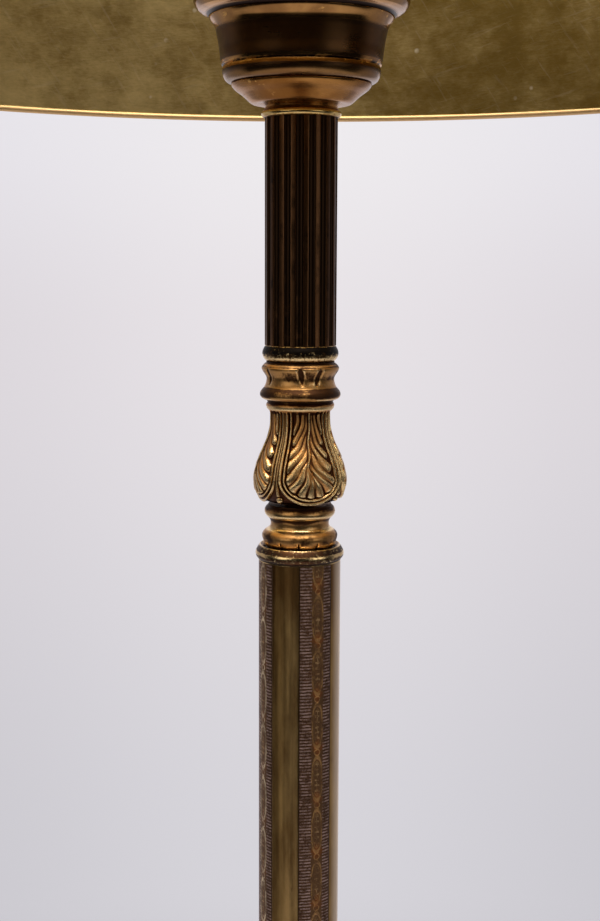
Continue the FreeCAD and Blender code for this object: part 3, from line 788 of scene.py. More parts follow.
@dataclass(frozen=True)
class Bronze(Finish):
    """Polished dark bronze, with brass showing where its lacquer has flaked off an edge.

    Attributes:
        metal: The colour of what it reflects head on.
        shadow: The same where the lacquer is thicker.
        soot: The colour of the patina in hollows.
        polish: Roughness.
        flaked: How readily edges show brass.
        brushing: Depth of the fine lines round the piece, in millimetres.
    """

    metal: Colour = tint(186, 136, 78)
    shadow: Colour = tint(138, 96, 54)
    soot: Colour = tint(46, 33, 28)
    polish: float = 0.16
    flaked: float = 1.0
    brushing: float = 0.01

    def make(self, recipe: Recipe) -> bpy.types.Material:
        """Builds the node tree."""
        patina = recipe.mark(Mark.PATINA)
        clouds = recipe.noise(45, 4, 0.6)
        patches = recipe.noise(75, 4, 0.65, (1, 1, 2.5))
        flecks = recipe.noise(900, 4, 0.7)
        lines = recipe.noise(50, 3, 0.6, (1, 1, 40))
        colour = recipe.mix(clouds.between(0.35, 0.65), self.shadow, self.metal)
        edge = patina.between(-0.3, -0.6)
        soot = recipe.total(
            (recipe.mark(Mark.HOLLOW), 0.8), (patina, 1.0), (clouds, 0.5), (edge, 1.3), (1.0, -0.45),
        )
        soot = soot.between(0.1, 0.7)
        colour = recipe.mix(soot, colour, self.soot)
        flaked = recipe.total((patina, -self.flaked), (patches, 3.6), (flecks, 0.9), (1.0, -2.75))
        flaked = flaked.between(0.05, 0.3)
        colour = recipe.mix(flaked, colour, tint(214, 160, 88))
        rough = recipe.total((1.0, self.polish), (lines, 0.16), (clouds, 0.12), (1.0, -0.14))
        rough = recipe.amount(soot, rough, 0.36)
        rough = recipe.amount(flaked, rough, 0.3)
        height = recipe.total((lines, 1.0), (flecks, 0.4))
        normal = recipe.bump(height, self.brushing)
        return recipe.surface(Base_Color=colour, Roughness=rough, Metallic=1.0, Normal=normal)


@dataclass(frozen=True)
class ShadeBrass(Finish):
    """Thin rolled brass sheet, brushed round the drum, with scratches and pale spots, and a painted
    shade that darkens its +X side.

    Attributes:
        low: The colour of its darker clouds.
        high: The colour of its lighter ones.
        metal: How metallic it is under the lacquer.
    """

    low: Colour = tint(142, 116, 56)
    high: Colour = tint(218, 192, 130)
    metal: float = 0.85

    def make(self, recipe: Recipe) -> bpy.types.Material:
        """Builds the node tree."""
        crest = recipe.mark(Mark.CREST)
        brushed = recipe.noise(30, 5, 0.65, (1, 1, 5))
        fine = recipe.noise(260, 4, 0.7, (1, 1, 4))
        clouds = recipe.noise(14, 5, 0.62)
        blotches = recipe.noise(62, 5, 0.68, (1, 1, 1.3))
        rising = recipe.noise(5, 4, 0.65, (7, 7, 90), (0, 58, 0))
        falling = recipe.noise(5, 4, 0.65, (7, 7, 90), (0, -17, 0))
        scratches = rising.between(0.58, 0.70).most(falling.between(0.58, 0.70))
        spots = recipe.cells(62).between(0.12, 0.05) * clouds.between(0.50, 0.58)
        # Painted shade: the aside term darkens the drum toward +X.
        aside = recipe.axes()[0].between(-0.24, 0.24)
        tone = recipe.total(
            (brushed, 0.3), (fine, 0.5), (clouds, 1.3), (blotches, 0.8), (aside, -0.5), (1.0, -0.75),
        )
        colour = recipe.mix(tone.between(0.05, 1.0), self.low, self.high)
        colour = recipe.mix((scratches * 0.11).most(spots), colour, tint(240, 226, 196))
        # The rolled beads' crests are lighter: rubbed metal, and a painted highlight along the beads.
        colour = recipe.mix(crest.between(0.1, 0.6), colour, tint(240, 198, 140))
        rough = recipe.total((1.0, 0.42), (blotches, 0.22), (clouds, 0.18), (crest, 0.2), (1.0, -0.2))
        height = recipe.total((brushed, 0.8), (fine, 0.6), (blotches, 0.8), (scratches, -0.15))
        normal = recipe.bump(height, 0.07)
        return recipe.surface(Base_Color=colour, Roughness=rough, Metallic=self.metal, Normal=normal)


@dataclass(frozen=True)
class PlainMetal(Finish):
    """Turned or rolled metal that nobody has aged on purpose.

    Attributes:
        colour: The clean metal.
        stain: The colour of its stains.
        polish: Roughness of the clean metal.
    """

    colour: Colour = tint(190, 190, 188)
    stain: Colour = tint(112, 106, 98)
    polish: float = 0.28

    def make(self, recipe: Recipe) -> bpy.types.Material:
        """Builds the node tree."""
        clouds = recipe.noise(140, 5, 0.6)
        lines = recipe.noise(220, 3, 0.6, (1, 1, 12))
        colour = recipe.mix(clouds.between(0.42, 0.68), self.colour, self.stain)
        rough = recipe.total((1.0, self.polish), (clouds, 0.3), (lines, 0.15), (1.0, -0.2))
        return recipe.surface(
            Base_Color=colour, Roughness=rough, Metallic=1.0, Normal=recipe.bump(lines, 0.02),
        )


@dataclass(frozen=True)
class CastIron(Finish):
    """Sand-cast iron under a coat of black paint."""

    def make(self, recipe: Recipe) -> bpy.types.Material:
        """Builds the node tree."""
        skin = recipe.noise(700, 5, 0.65)
        clouds = recipe.noise(60, 4, 0.6)
        colour = recipe.mix(clouds.between(0.35, 0.7), tint(38, 37, 36), tint(66, 58, 52))
        rough = recipe.total((skin, 0.4), (1.0, 0.4))
        return recipe.surface(
            Base_Color=colour, Roughness=rough, Metallic=0.15, Normal=recipe.bump(skin, 0.35),
        )


@dataclass(frozen=True)
class Felt(Finish):
    """Pressed wool felt."""

    def make(self, recipe: Recipe) -> bpy.types.Material:
        """Builds the node tree."""
        fibres = recipe.noise(1300, 6, 0.75)
        clouds = recipe.noise(90, 3, 0.6)
        tone = recipe.total((fibres, 1.0), (clouds, 0.6), (1.0, -0.4))
        colour = recipe.mix(tone.between(0.1, 0.8), tint(22, 40, 30), tint(62, 86, 66))
        return recipe.surface(
            Base_Color=colour, Roughness=0.95, Sheen_Weight=0.4, Normal=recipe.bump(fibres, 0.3),
        )


@dataclass(frozen=True)
class Moulded(Finish):
    """Moulded or fired material without metal, such as plastic or glazed porcelain.

    Attributes:
        colour: Its main colour.
        shade: The colour of its slight clouds.
        polish: Roughness.
    """

    colour: Colour = tint(24, 23, 22)
    shade: Colour = tint(40, 38, 36)
    polish: float = 0.35

    def make(self, recipe: Recipe) -> bpy.types.Material:
        """Builds the node tree."""
        clouds = recipe.noise(200, 4, 0.6)
        skin = recipe.noise(1800, 3, 0.6)
        colour = recipe.mix(clouds.between(0.35, 0.7), self.colour, self.shade)
        rough = recipe.total((1.0, self.polish), (clouds, 0.2), (1.0, -0.1))
        return recipe.surface(Base_Color=colour, Roughness=rough, Normal=recipe.bump(skin, 0.02))


@dataclass(frozen=True)
class OpalGlass(Finish):
    """White glass that scatters light inside, coated on its inner face."""

    def make(self, recipe: Recipe) -> bpy.types.Material:
        """Builds the node tree."""
        clouds = recipe.noise(45, 3, 0.6)
        colour = recipe.mix(clouds.between(0.3, 0.7), tint(236, 232, 222), tint(250, 248, 242))
        rough = recipe.total((clouds, 0.12), (1.0, 0.1))
        return recipe.surface(Base_Color=colour, Roughness=rough, Coat_Weight=0.6, Coat_Roughness=0.06)


CAST_BRASS = AgedMetal("cast_brass", "antique_brass", grain=0.06)
KNOP_BRASS = AgedMetal(
    "knop_brass", "antique_brass", middle=tint(206, 148, 86), dark=tint(78, 44, 26), packed=1.1,
    rubbed=1.5, flake=0.8, fleck_size=0.6, grain=0.14, polish=0.24,
)
RING_BRASS = AgedMetal(
    "ring_brass", "antique_brass", middle=tint(88, 62, 36), dark=tint(24, 19, 16), dirty=0.16,
    rubbed=1.3, flake=2.2, fleck_size=1.1, grain=0.08,
)
COLLAR_BRASS = AgedMetal(
    "collar_brass", "antique_brass", middle=tint(98, 66, 44), dark=tint(54, 38, 30), dirty=0.1,
    rubbed=1.3, flake=2.2, fleck_size=0.9, grain=0.07,
)
FITTING_BRASS = AgedMetal(
    "fitting_brass", "antique_brass", middle=tint(178, 138, 78), dark=tint(84, 60, 36), grain=0.02,
    fleck_size=1.0, flake=0.5, cloudy=0.9,
)
BASE_BRASS = AgedMetal(
    "base_brass", "antique_brass", middle=tint(140, 104, 58), grain=0.02, fleck_size=1.6,
    flake=0.5, polish=0.22, dull=0.42, turning=0.02, cloudy=0.8,
)
WORN_BRASS = AgedMetal(
    "worn_brass", "antique_brass", middle=tint(164, 122, 62), bright=tint(232, 196, 124),
    flake=1.6, fleck_size=1.0, grain=0.05,
)
FLUTE_BRONZE = AgedMetal(
    "flute_bronze", "dark_bronze", bright=tint(128, 88, 56), middle=tint(88, 60, 38),
    dark=tint(46, 31, 20), dirty=0.08, rubbed=0.7, flake=0.3, polish=0.3, dull=0.36, grain=0.01,
)
CUP_BRONZE = Bronze("cup_bronze", "dark_bronze")
BELL_COPPER = Bronze(
    "bell_copper", "copper_bronze", metal=tint(172, 120, 62), shadow=tint(134, 86, 38),
    polish=0.26, flaked=0.3, brushing=0.02,
)
TUBE_BRASS = EngravedBrass("tube_brass", "engraved_brass")
DRUM_BRASS = ShadeBrass("drum_brass", "shade_brass")
STEEL = PlainMetal("rolled_steel", "steel")
LAMP_CAP = PlainMetal("screw_cap", "lamp_cap", tint(214, 208, 196), tint(170, 160, 142), 0.2)
IRON = CastIron("painted_iron", "iron")
FELT = Felt("pressed_felt", "felt")
BLACK_PLASTIC = Moulded("moulded_black", "black_plastic")
PORCELAIN = Moulded("glazed_porcelain", "porcelain", tint(236, 232, 224), tint(222, 216, 204), 0.14)
OPAL = OpalGlass("opal_bulb", "opal_glass")


# ---- Fitting pieces to the frame ------------------------------------------------------------
def fit(piece: bpy.types.Object, finish: Finish, node: str, body: Body = Body.STAND) -> None:
    """Dresses a finished piece and hangs it on its body, in place of a CAD node.

    Args:
        piece: The object, in place.
        finish: Its finish.
        node: The CAD node that it replaces.
        body: What it moves with.
    """
    clothe(piece, finish)
    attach(piece, body.value)
    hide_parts(node)
    LOG.info("%s: %d points, for %s", piece.name, len(piece.data.vertices), node)


def dress(node: str, finish: Finish) -> None:
    """Gives a CAD node that stays its finish."""
    clothe(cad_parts[node], finish)
    LOG.info("%s: kept, in %s", node, finish.name)


def clothe(piece: bpy.types.Object, finish: Finish) -> None:
    """Makes a finish the only material of a piece."""
    piece.data.materials.clear()
    piece.data.materials.append(finish.material())


def joined(name: str, pieces: Sequence[bpy.types.Object]) -> bpy.types.Object:
    """Puts the meshes of several pieces into the first one, under a new name."""
    with bpy.context.temp_override(
        active_object=pieces[0], object=pieces[0],
        selected_objects=list(pieces), selected_editable_objects=list(pieces),
    ):
        bpy.ops.object.join()
    pieces[0].name = pieces[0].data.name = name
    return pieces[0]


def moved(piece: bpy.types.Object, matrix: Matrix) -> bpy.types.Object:
    """Moves a piece's mesh and leaves its object at the origin."""
    piece.data.transform(matrix)
    return piece


def drilled(node: str, runs: Sequence[Run], **settings: object) -> Outline:
    """The outline of a casting with the tie rod's hole through it.

    Args:
        node: The CAD node whose foot the levels count from.
        runs: The outline's outside.
        **settings: Its other attributes.

    Returns:
        The outline.
    """
    top = runs[-1][-1][1]
    return Outline(runs, [(ROD_BORE, top), (ROD_BORE, 0.0)], base=low_end(node), **settings)


# ---- Base -----------------------------------------------------------------------------------
@dataclass
class Base:
    """The weighted round base with its foot.

    Attributes:
        radius: Of the cover's rim.
        height: Of the cover's neck above the floor.
        neck: The neck's radius.
        ball: Radius of the foot's ball.
    """

    radius: float = 150.0
    height: float = 62.0
    neck: float = 27.0
    ball: float = 24.0

    def cover(self) -> None:
        """The spun shell: a rolled rim, a ledge, and an ogee up to the neck."""
        r, neck, top = self.radius, self.neck, self.height
        outside = [
            [(r - 1.2, 2.0), (r - 0.3, 2.4), (r, 3.4)],
            [(r, 3.4), (r, 10.6)],
            [(r, 10.6), (r - 0.5, 12.4), (r - 2.4, 14.0)],
            [(r - 2.4, 14.0), (r - 3.4, 16.4), (r - 4.0, 20.0), (r - 5.2, 22.3), (r - 7.4, 23.2)],
            [(r - 7.4, 23.2), (r - 17.0, 23.4)],
            [(r - 17.0, 23.4), (r - 19.0, 24.6), (r - 21.6, 27.4), (r - 31.0, 31.2),
             (r - 58.0, 37.2), (r - 87.0, 43.2), (neck + 16.0, 49.0), (neck + 4.0, 56.0),
             (neck + 0.6, 60.2)],
            [(neck + 0.6, 60.2), (neck + 0.5, top - 0.5), (neck - 0.4, top)],
        ]
        inside = [
            (ROD_BORE, top), (ROD_BORE, top - 1.2), (neck - 1.2, top - 1.2), (neck + 15.0, 47.8),
            (r - 87.0, 42.0), (r - 58.0, 36.0), (r - 31.0, 30.0), (r - 18.4, 22.2), (r - 6.0, 22.0),
            (r - 1.2, 10.6),
        ]
        outline = Outline(outside, inside, step=1.2, reach=1.6)
        fit(turned("base_cover_spun", outline, 256), BASE_BRASS, "base_cover")

    def baluster(self) -> None:
        """The turned foot between the base and the tube's collar."""
        base, ball, neck = high_end("base_cover"), self.ball, self.neck
        top = low_end("tube_lower_collar") - base
        outside = [
            [(neck - 4.0, 0.0), (neck - 1.6, 0.7), (neck - 0.9, 2.6), (neck - 1.8, 4.6),
             (neck - 4.2, 5.6)],
            [(neck - 4.2, 5.6), (neck - 9.0, 7.2), (13.6, 10.4), (11.6, 15.0), (11.2, 18.4),
             (12.8, 21.0)],
            [(12.8, 21.0), (14.2, 21.2), (15.0, 22.2), (14.6, 23.3)],
            [(14.6, 23.3), (18.6, 24.4), (22.4, 28.4), (ball, 33.6), (22.6, 38.8), (19.0, 42.8),
             (16.2, 44.6)],
            [(16.2, 44.6), (17.0, 45.6), (17.2, 47.0), (16.6, 48.4), (15.6, 48.9)],
            [(15.6, 48.9), (15.4, 52.0), (15.9, top - 1.0), (16.6, top)],
        ]
        outline = Outline(outside, [(ROD_BORE, top), (ROD_BORE, 0.0)], base=base)
        fit(turned("foot_turned", outline, 160), BASE_BRASS, "foot_baluster")

    def build(self) -> None:
        """Makes the base's pieces and dresses those that stay."""
        self.cover()
        self.baluster()
        dress("base_weight", IRON)
        dress("felt_pad", FELT)
        dress("cord_bushing", BLACK_PLASTIC)
        for node in ("clamp_washer", "rod_nuts", "tie_rod", "centre_pipe"):
            dress(node, STEEL)


# ---- Engraved tube --------------------------------------------------------------------------
@dataclass
class Tube:
    """The engraved tube between its two beaded collars.

    Attributes:
        radius: The tube's radius.
        wall: Its wall.
        bead: How far a collar's bead stands outside the tube.
        collar: Height of a collar outside the tube.
        dish: Radius of the hollow in a collar's end.
    """

    radius: float = 17.5
    wall: float = 1.5
    bead: float = 1.4
    collar: float = 6.6
    dish: float = 15.0

    # Levels 0.7 to 2.5, between the tube's end and the bead, are dark: patina, and painted shade of
    # the bead.
    AGE = (
        (0.0, 0.6), (0.25, -0.4), (0.7, 0.4), (1.0, 0.6), (2.5, 0.35), (3.1, -0.5), (3.9, -0.6),
        (4.4, 0.25), (6.2, 0.2), (6.6, 0.6),
    )

    def body(self) -> None:
        """The tube itself."""
        rise, inner = rise_of("engraved_tube"), self.radius - self.wall
        outline = Outline(
            [[(self.radius, 0.0), (self.radius, rise)]], [(inner, rise), (inner, 0.0)],
            base=low_end("engraved_tube"),
        )
        fit(turned("tube_engraved", outline, 192), TUBE_BRASS, "engraved_tube")

    def ring(self, name: str, node: str, tube_end: float, upward: bool) -> None:
        """One collar.

        Args:
            name: The piece's name.
            node: The CAD node that it replaces.
            tube_end: The level of the tube's end that it closes.
            upward: Whether the collar stands above the tube's end.
        """
        r, out = self.radius, self.radius + self.bead
        rise, dish = self.collar, self.dish
        floor = rise - 1.7
        outside = [
            [(r - 1.7, 0.0), (r + 0.1, 0.0)],
            [(r + 0.1, 0.0), (r + 0.15, 0.6), (r + 0.4, 0.9)],
            [(r + 0.4, 0.9), (r + 0.9, 1.4), (out - 0.1, 2.3), (out, 3.1), (out - 0.15, 3.9)],
            [(out - 0.15, 3.9), (out - 0.7, 4.9), (out - 1.3, 5.9), (out - 1.8, rise)],
            [(out - 1.8, rise), (out - 2.4, rise - 0.1), (dish + 0.2, rise - 1.3)],
        ]
        inside = [(dish, floor), (ROD_BORE, floor), (ROD_BORE, 0.0)]
        piece = turned(name, Outline(outside, inside, step=0.2, patina=self.AGE), 256)
        if not upward:
            moved(piece, Matrix.Scale(-1, 4, (0, 0, 1)))
            piece.data.flip_normals()
        moved(piece, Matrix.Translation((0, 0, tube_end * MM)))
        fit(piece, COLLAR_BRASS, node)

    def build(self) -> None:
        """Makes the tube and its collars."""
        self.body()
        self.ring("collar_upper", "tube_upper_collar", high_end("engraved_tube"), True)
        self.ring("collar_lower", "tube_lower_collar", low_end("engraved_tube"), False)


# ---- Carved castings ------------------------------------------------------------------------
def hump(away: Array, half: float | Array) -> Array:
    """A smooth ridge: 1 where a distance is 0, and about a third at half its width."""
    return np.exp(-((away / half) ** 2))


def ramp(value: Array, start: float, run: float) -> Array:
    """0 before a start and 1 from a run beyond it. A run below 0 leads downward."""
    return np.clip((value - start) / run, 0, 1)


def nearest(degrees: Array, first: float, count: int) -> Array:
    """Degrees from the nearest of equal parts round the axis, one of which is at the first."""
    pitch = 360.0 / count
    return np.mod(degrees - first + pitch / 2, pitch) - pitch / 2


@dataclass
class Casting:
    """A carved casting of the column, threaded on the tie rod.

    Attributes:
        depth: Depth of the carving.
        NAME: The piece's name.
        NODE: The CAD node that it replaces.
        FINISH: Its finish.
        RUNS: The runs up the outside of its outline.
        AGE: The outline's patina.
        STEP: The outline's step.
        SEGMENTS: Points round the axis.
        WINDOW: How many points to each side a crest or a hollow is told from.
    """

    depth: float = 1.0

    NAME: ClassVar[str]
    NODE: ClassVar[str]
    FINISH: ClassVar[Finish]
    RUNS: ClassVar[Sequence[Run]]
    AGE: ClassVar[Run]
    STEP: ClassVar[float] = 0.2
    SEGMENTS: ClassVar[int] = 480
    WINDOW: ClassVar[int] = 3

    def relief(self, degrees: Array, level: Array, radius: Array) -> Array:
        """Heights of the carving.

        Args:
            degrees: Degrees from the front.
            level: Levels above the casting's foot.
            radius: Radii of the uncarved outside.

        Returns:
            Heights, 0 for the ground and 1 for the uncarved outside.
        """
        raise NotImplementedError

    def build(self) -> None:
        """Makes the casting."""
        outline = drilled(self.NODE, self.RUNS, step=self.STEP, patina=self.AGE)
        piece = turned(self.NAME, outline, self.SEGMENTS, self.relief, self.depth, self.WINDOW)
        fit(piece, self.FINISH, self.NODE)


@dataclass(frozen=True)
class Lobe:
    """One finger of an acanthus leaf.

    Attributes:
        root: (degrees from the midrib, level above the knop's base) where it leaves the rib.
        bend: The point that draws its middle line into a curve.
        tip: Where it ends.
        width: Half its width at its widest, in millimetres.
        STATIONS: How many places along it its form is built up at.
        WIDEST: The share of its length at which it is widest.
        ROOT: Its width at the root, as a share of the widest.
        RISE: Its height at the root, and what it gains to the tip.
        LEAN: How much its upper side stands above its lower one.
        FULLNESS: The power that rounds it. A smaller one makes it fuller.
    """

    root: Point
    bend: Point
    tip: Point
    width: float

    STATIONS = 56
    WIDEST = 0.82
    ROOT = 0.42
    RISE = (0.6, 0.24)
    LEAN = 0.4
    FULLNESS = 0.65

    def height(self, across: Array, level: Array, reach: Callable) -> Array:
        """The finger's rounded form.

        Args:
            across: Millimetres from the midrib, for each place.
            level: Levels above the knop's base.
            reach: Turns degrees at a level into millimetres.

        Returns:
            Heights, 0 to 1.
        """
        best = np.zeros(np.broadcast(across, level).shape)
        for share in np.linspace(0, 1, self.STATIONS):
            weights = (1 - share) ** 2, 2 * share * (1 - share), share**2
            degrees, up = (
                sum(weight * value for weight, value in zip(weights, values))
                for values in zip(self.root, self.bend, self.tip)
            )
            swell = math.sin(math.pi * min(share, self.WIDEST) / (2 * self.WIDEST))
            half = self.width * (self.ROOT + (1 - self.ROOT) * swell)
            away = ((across - reach(degrees, up)) ** 2 + (level - up) ** 2) / half**2
            rise = self.RISE[0] + self.RISE[1] * share
            rise = rise * (1 + self.LEAN * np.clip((level - up) / half, -1, 1))
            best = np.maximum(best, rise * np.clip(1 - away, 0, 1) ** self.FULLNESS)
        return best


@dataclass
class Knop(Casting):
    """The cast knop: an upside-down pear with four acanthus leaves in bordered tongues.

    Attributes:
        depth: Depth of the relief.
        leaves: How many leaves go round it.
        centre: Degrees from the front to the first leaf's midrib.
        tongue: Degrees from the midrib to the tongue's border.
        border_low: Lowest level of the border.
        border_turn: Level at which the border runs straight up.
        rib: Half the width of a midrib, and of the dart between two tongues.
        rib_low: Level from which a midrib rises.
        margin: Millimetres inside a tongue's edge where its leaf ends.
        waver: Degrees by which the fingers' lines waver.
        pearl: Level of the pearl under a dart.
        ground: Height of the ground between a leaf's fingers, as a share of the depth.
        top: Level at which the carving runs out under the neck's ring.
        BORDERS: (height, millimetres inside the tongue's edge, half width) of a border's lines.
        SWAY: (level, degrees) pairs that draw a leaf off its midrib.
    """

    depth: float = 1.9
    leaves: int = 4
    centre: float = 15.5
    tongue: float = 41.5
    border_low: float = 1.5
    border_turn: float = 13.0
    rib: float = 0.8
    rib_low: float = 14.0
    margin: float = 2.2
    waver: float = 0.9
    pearl: float = 3.0
    ground: float = 0.08
    top: float = 39.4

    NAME, NODE, FINISH = "knop_cast", "acanthus_knop", KNOP_BRASS
    SEGMENTS, WINDOW = 720, 5
    BODY = [
        (15.0, 0.0), (16.5, 1.3), (17.6, 2.3), (18.5, 3.7), (19.3, 5.2), (19.85, 7.0), (20.2, 9.0),
        (20.3, 10.8), (20.15, 12.5), (19.55, 15.6), (18.9, 17.9), (17.75, 20.8), (16.5, 23.6),
        (15.3, 26.3), (14.15, 29.5), (13.45, 32.4), (13.2, 35.0), (13.2, 38.2), (13.3, 39.6),
        (13.5, 40.3),
    ]
    NECK_RING = [(13.5, 40.3), (14.0, 40.8), (14.35, 41.7), (14.3, 42.6), (13.9, 43.3), (13.5, 43.9)]
    RUNS = (BODY, NECK_RING)
    BORDERS = ((0.95, 0.0, 0.75), (0.8, 1.9, 0.6))
    AGE = (
        (0.0, 0.9), (1.6, 0.5), (4.0, 0.0), (12.0, -0.3), (24.0, -0.15), (34.0, 0.25), (39.0, 0.5),
        (40.4, 0.7), (40.9, -0.6), (41.8, -0.7), (42.4, 0.2), (43.9, 0.9),
    )
    SWAY = ((0.0, 0.0), (10.8, -0.5), (16.8, -4.0), (24.0, -2.5), (35.6, 1.5), (43.9, 2.0))
    LOBES = (
        Lobe((22.0, 41.0), (20.5, 36.5), (27.0, 31.5), 1.2),
        Lobe((10.5, 41.0), (9.0, 34.5), (23.5, 27.5), 1.7),
        Lobe((4.5, 39.5), (4.5, 29.0), (26.0, 22.5), 2.1),
        Lobe((2.5, 33.5), (4.5, 23.5), (28.5, 17.2), 2.4),
        Lobe((1.5, 27.0), (5.0, 18.5), (29.5, 12.0), 2.5),
        Lobe((1.0, 20.5), (6.5, 14.5), (26.5, 7.6), 2.4),
        Lobe((0.5, 17.5), (4.0, 11.0), (14.0, 4.6), 2.3),
        Lobe((0.0, 17.0), (0.0, 9.5), (0.0, 3.2), 2.2),
    )

    def radius_at(self, level: float) -> float:
        """The knop's outer radius at a level."""
        radii, levels = zip(*self.BODY)
        return float(np.interp(level, levels, radii))

    def reach(self, degrees: float, level: float) -> float:
        """Degrees at a level as millimetres over the surface."""
        return math.radians(degrees) * self.radius_at(level)

    def past_border(self, aside: Array, level: Array, radius: Array) -> Array:
        """Millimetres outward from the edge of the nearest tongue, which is round at its foot.

        Args:
            aside: Degrees from the midrib.
            level: Levels above the foot.
            radius: Radii of the uncarved outside.

        Returns:
            Distances, below 0 inside the tongue.
        """
        sweep = self.border_turn - self.border_low
        sunk = np.minimum(level - self.border_turn, 0) / sweep
        ratio = np.abs(aside) / self.tongue
        ring = np.sqrt(ratio**2 + sunk**2) + 1e-9
        wide = math.radians(self.tongue) * radius
        return (ring - 1) * (wide * ratio**2 + sweep * sunk**2) / ring**2

    def relief(self, degrees: Array, level: Array, radius: Array) -> Array:
        """Heights of the leaves, their borders, and the darts and pearls between them."""
        sway = np.interp(level, *zip(*self.SWAY))
        sway = sway + self.waver * np.sin(level / 1.7 + np.radians(3 * degrees))
        aside = nearest(degrees, self.centre, self.leaves)
        across = np.abs(np.radians(aside - sway) * radius)
        outward = self.past_border(aside, level, radius)
        lines = [rise * hump(outward + inset, half) for rise, inset, half in self.BORDERS]
        leaf = np.maximum(self.ground, hump(across, self.rib) * ramp(level, self.rib_low, 6.0))
        for lobe in self.LOBES:
            leaf = np.maximum(leaf, lobe.height(across, level, self.reach))
        leaf = leaf * ramp(outward, -self.margin, -1.3)
        from_dart = np.radians(180.0 / self.leaves - np.abs(aside)) * radius
        dart = 0.85 * hump(from_dart, self.rib) * ramp(level, self.pearl + 0.5, 2.0)
        pearl = 0.9 * np.sqrt(np.clip(1 - (from_dart**2 + (level - self.pearl) ** 2) / 2.6, 0, 1))
        height = np.maximum.reduce([*lines, leaf, dart, pearl]) * ramp(level, 0.0, 1.6)
        smooth = ramp(level, self.top, 0.9)
        return height * (1 - smooth) + smooth


@dataclass
class KnopFoot(Casting):
    """The small baluster under the knop, with a lobed lower bead.

    Attributes:
        depth: Depth of a notch.
        lobes: How many lobes go round the bead.
        first: Degrees from the front to the first notch between lobes.
        NOTCH: (share of the depth, half width) of a notch's cut and of its shoulders.
    """

    depth: float = 0.7
    lobes: int = 12
    first: float = -1.5

    NAME, NODE, FINISH = "knop_foot_cast", "knop_foot", CAST_BRASS
    STEP = 0.25
    NOTCH = ((0.6, 0.3), (0.35, 1.5))
    RUNS = (
        [(13.6, 0.0), (14.5, 0.6), (15.2, 1.7), (15.7, 3.2), (16.0, 4.4), (16.1, 5.3), (15.8, 6.2),
         (15.2, 7.0), (14.1, 7.9)],
        [(14.1, 7.9), (13.1, 8.6), (12.55, 9.4), (12.4, 10.4), (12.5, 11.4), (12.85, 12.3),
         (13.4, 13.0)],
        [(13.4, 13.0), (14.3, 13.8), (14.9, 14.7), (15.05, 15.7), (14.9, 16.5), (14.5, 17.4),
         (13.7, 18.2), (13.4, 18.7)],
    )
    AGE = (
        (0.0, 1.0), (0.8, 0.7), (1.3, -0.6), (2.4, -0.8), (3.0, 0.1), (3.8, 0.3), (6.0, 0.35),
        (7.4, 0.0), (8.2, -0.9), (9.4, -0.4), (11.5, 0.0), (12.8, 0.8), (13.2, 0.5), (13.8, -0.8),
        (15.2, -0.5), (16.4, 0.1), (17.6, 0.7), (18.7, 1.0),
    )

    def relief(self, degrees: Array, level: Array, radius: Array) -> Array:
        """Heights of the lobed bead, 1 where it isn't notched."""
        across = np.radians(nearest(degrees, self.first, self.lobes)) * radius
        notch = sum(share * hump(across, half) for share, half in self.NOTCH)
        notch = notch * (ramp(level, 4.2, -1.6) * ramp(level, 0.0, 0.5))
        return 1 - np.clip(notch, 0, 1)


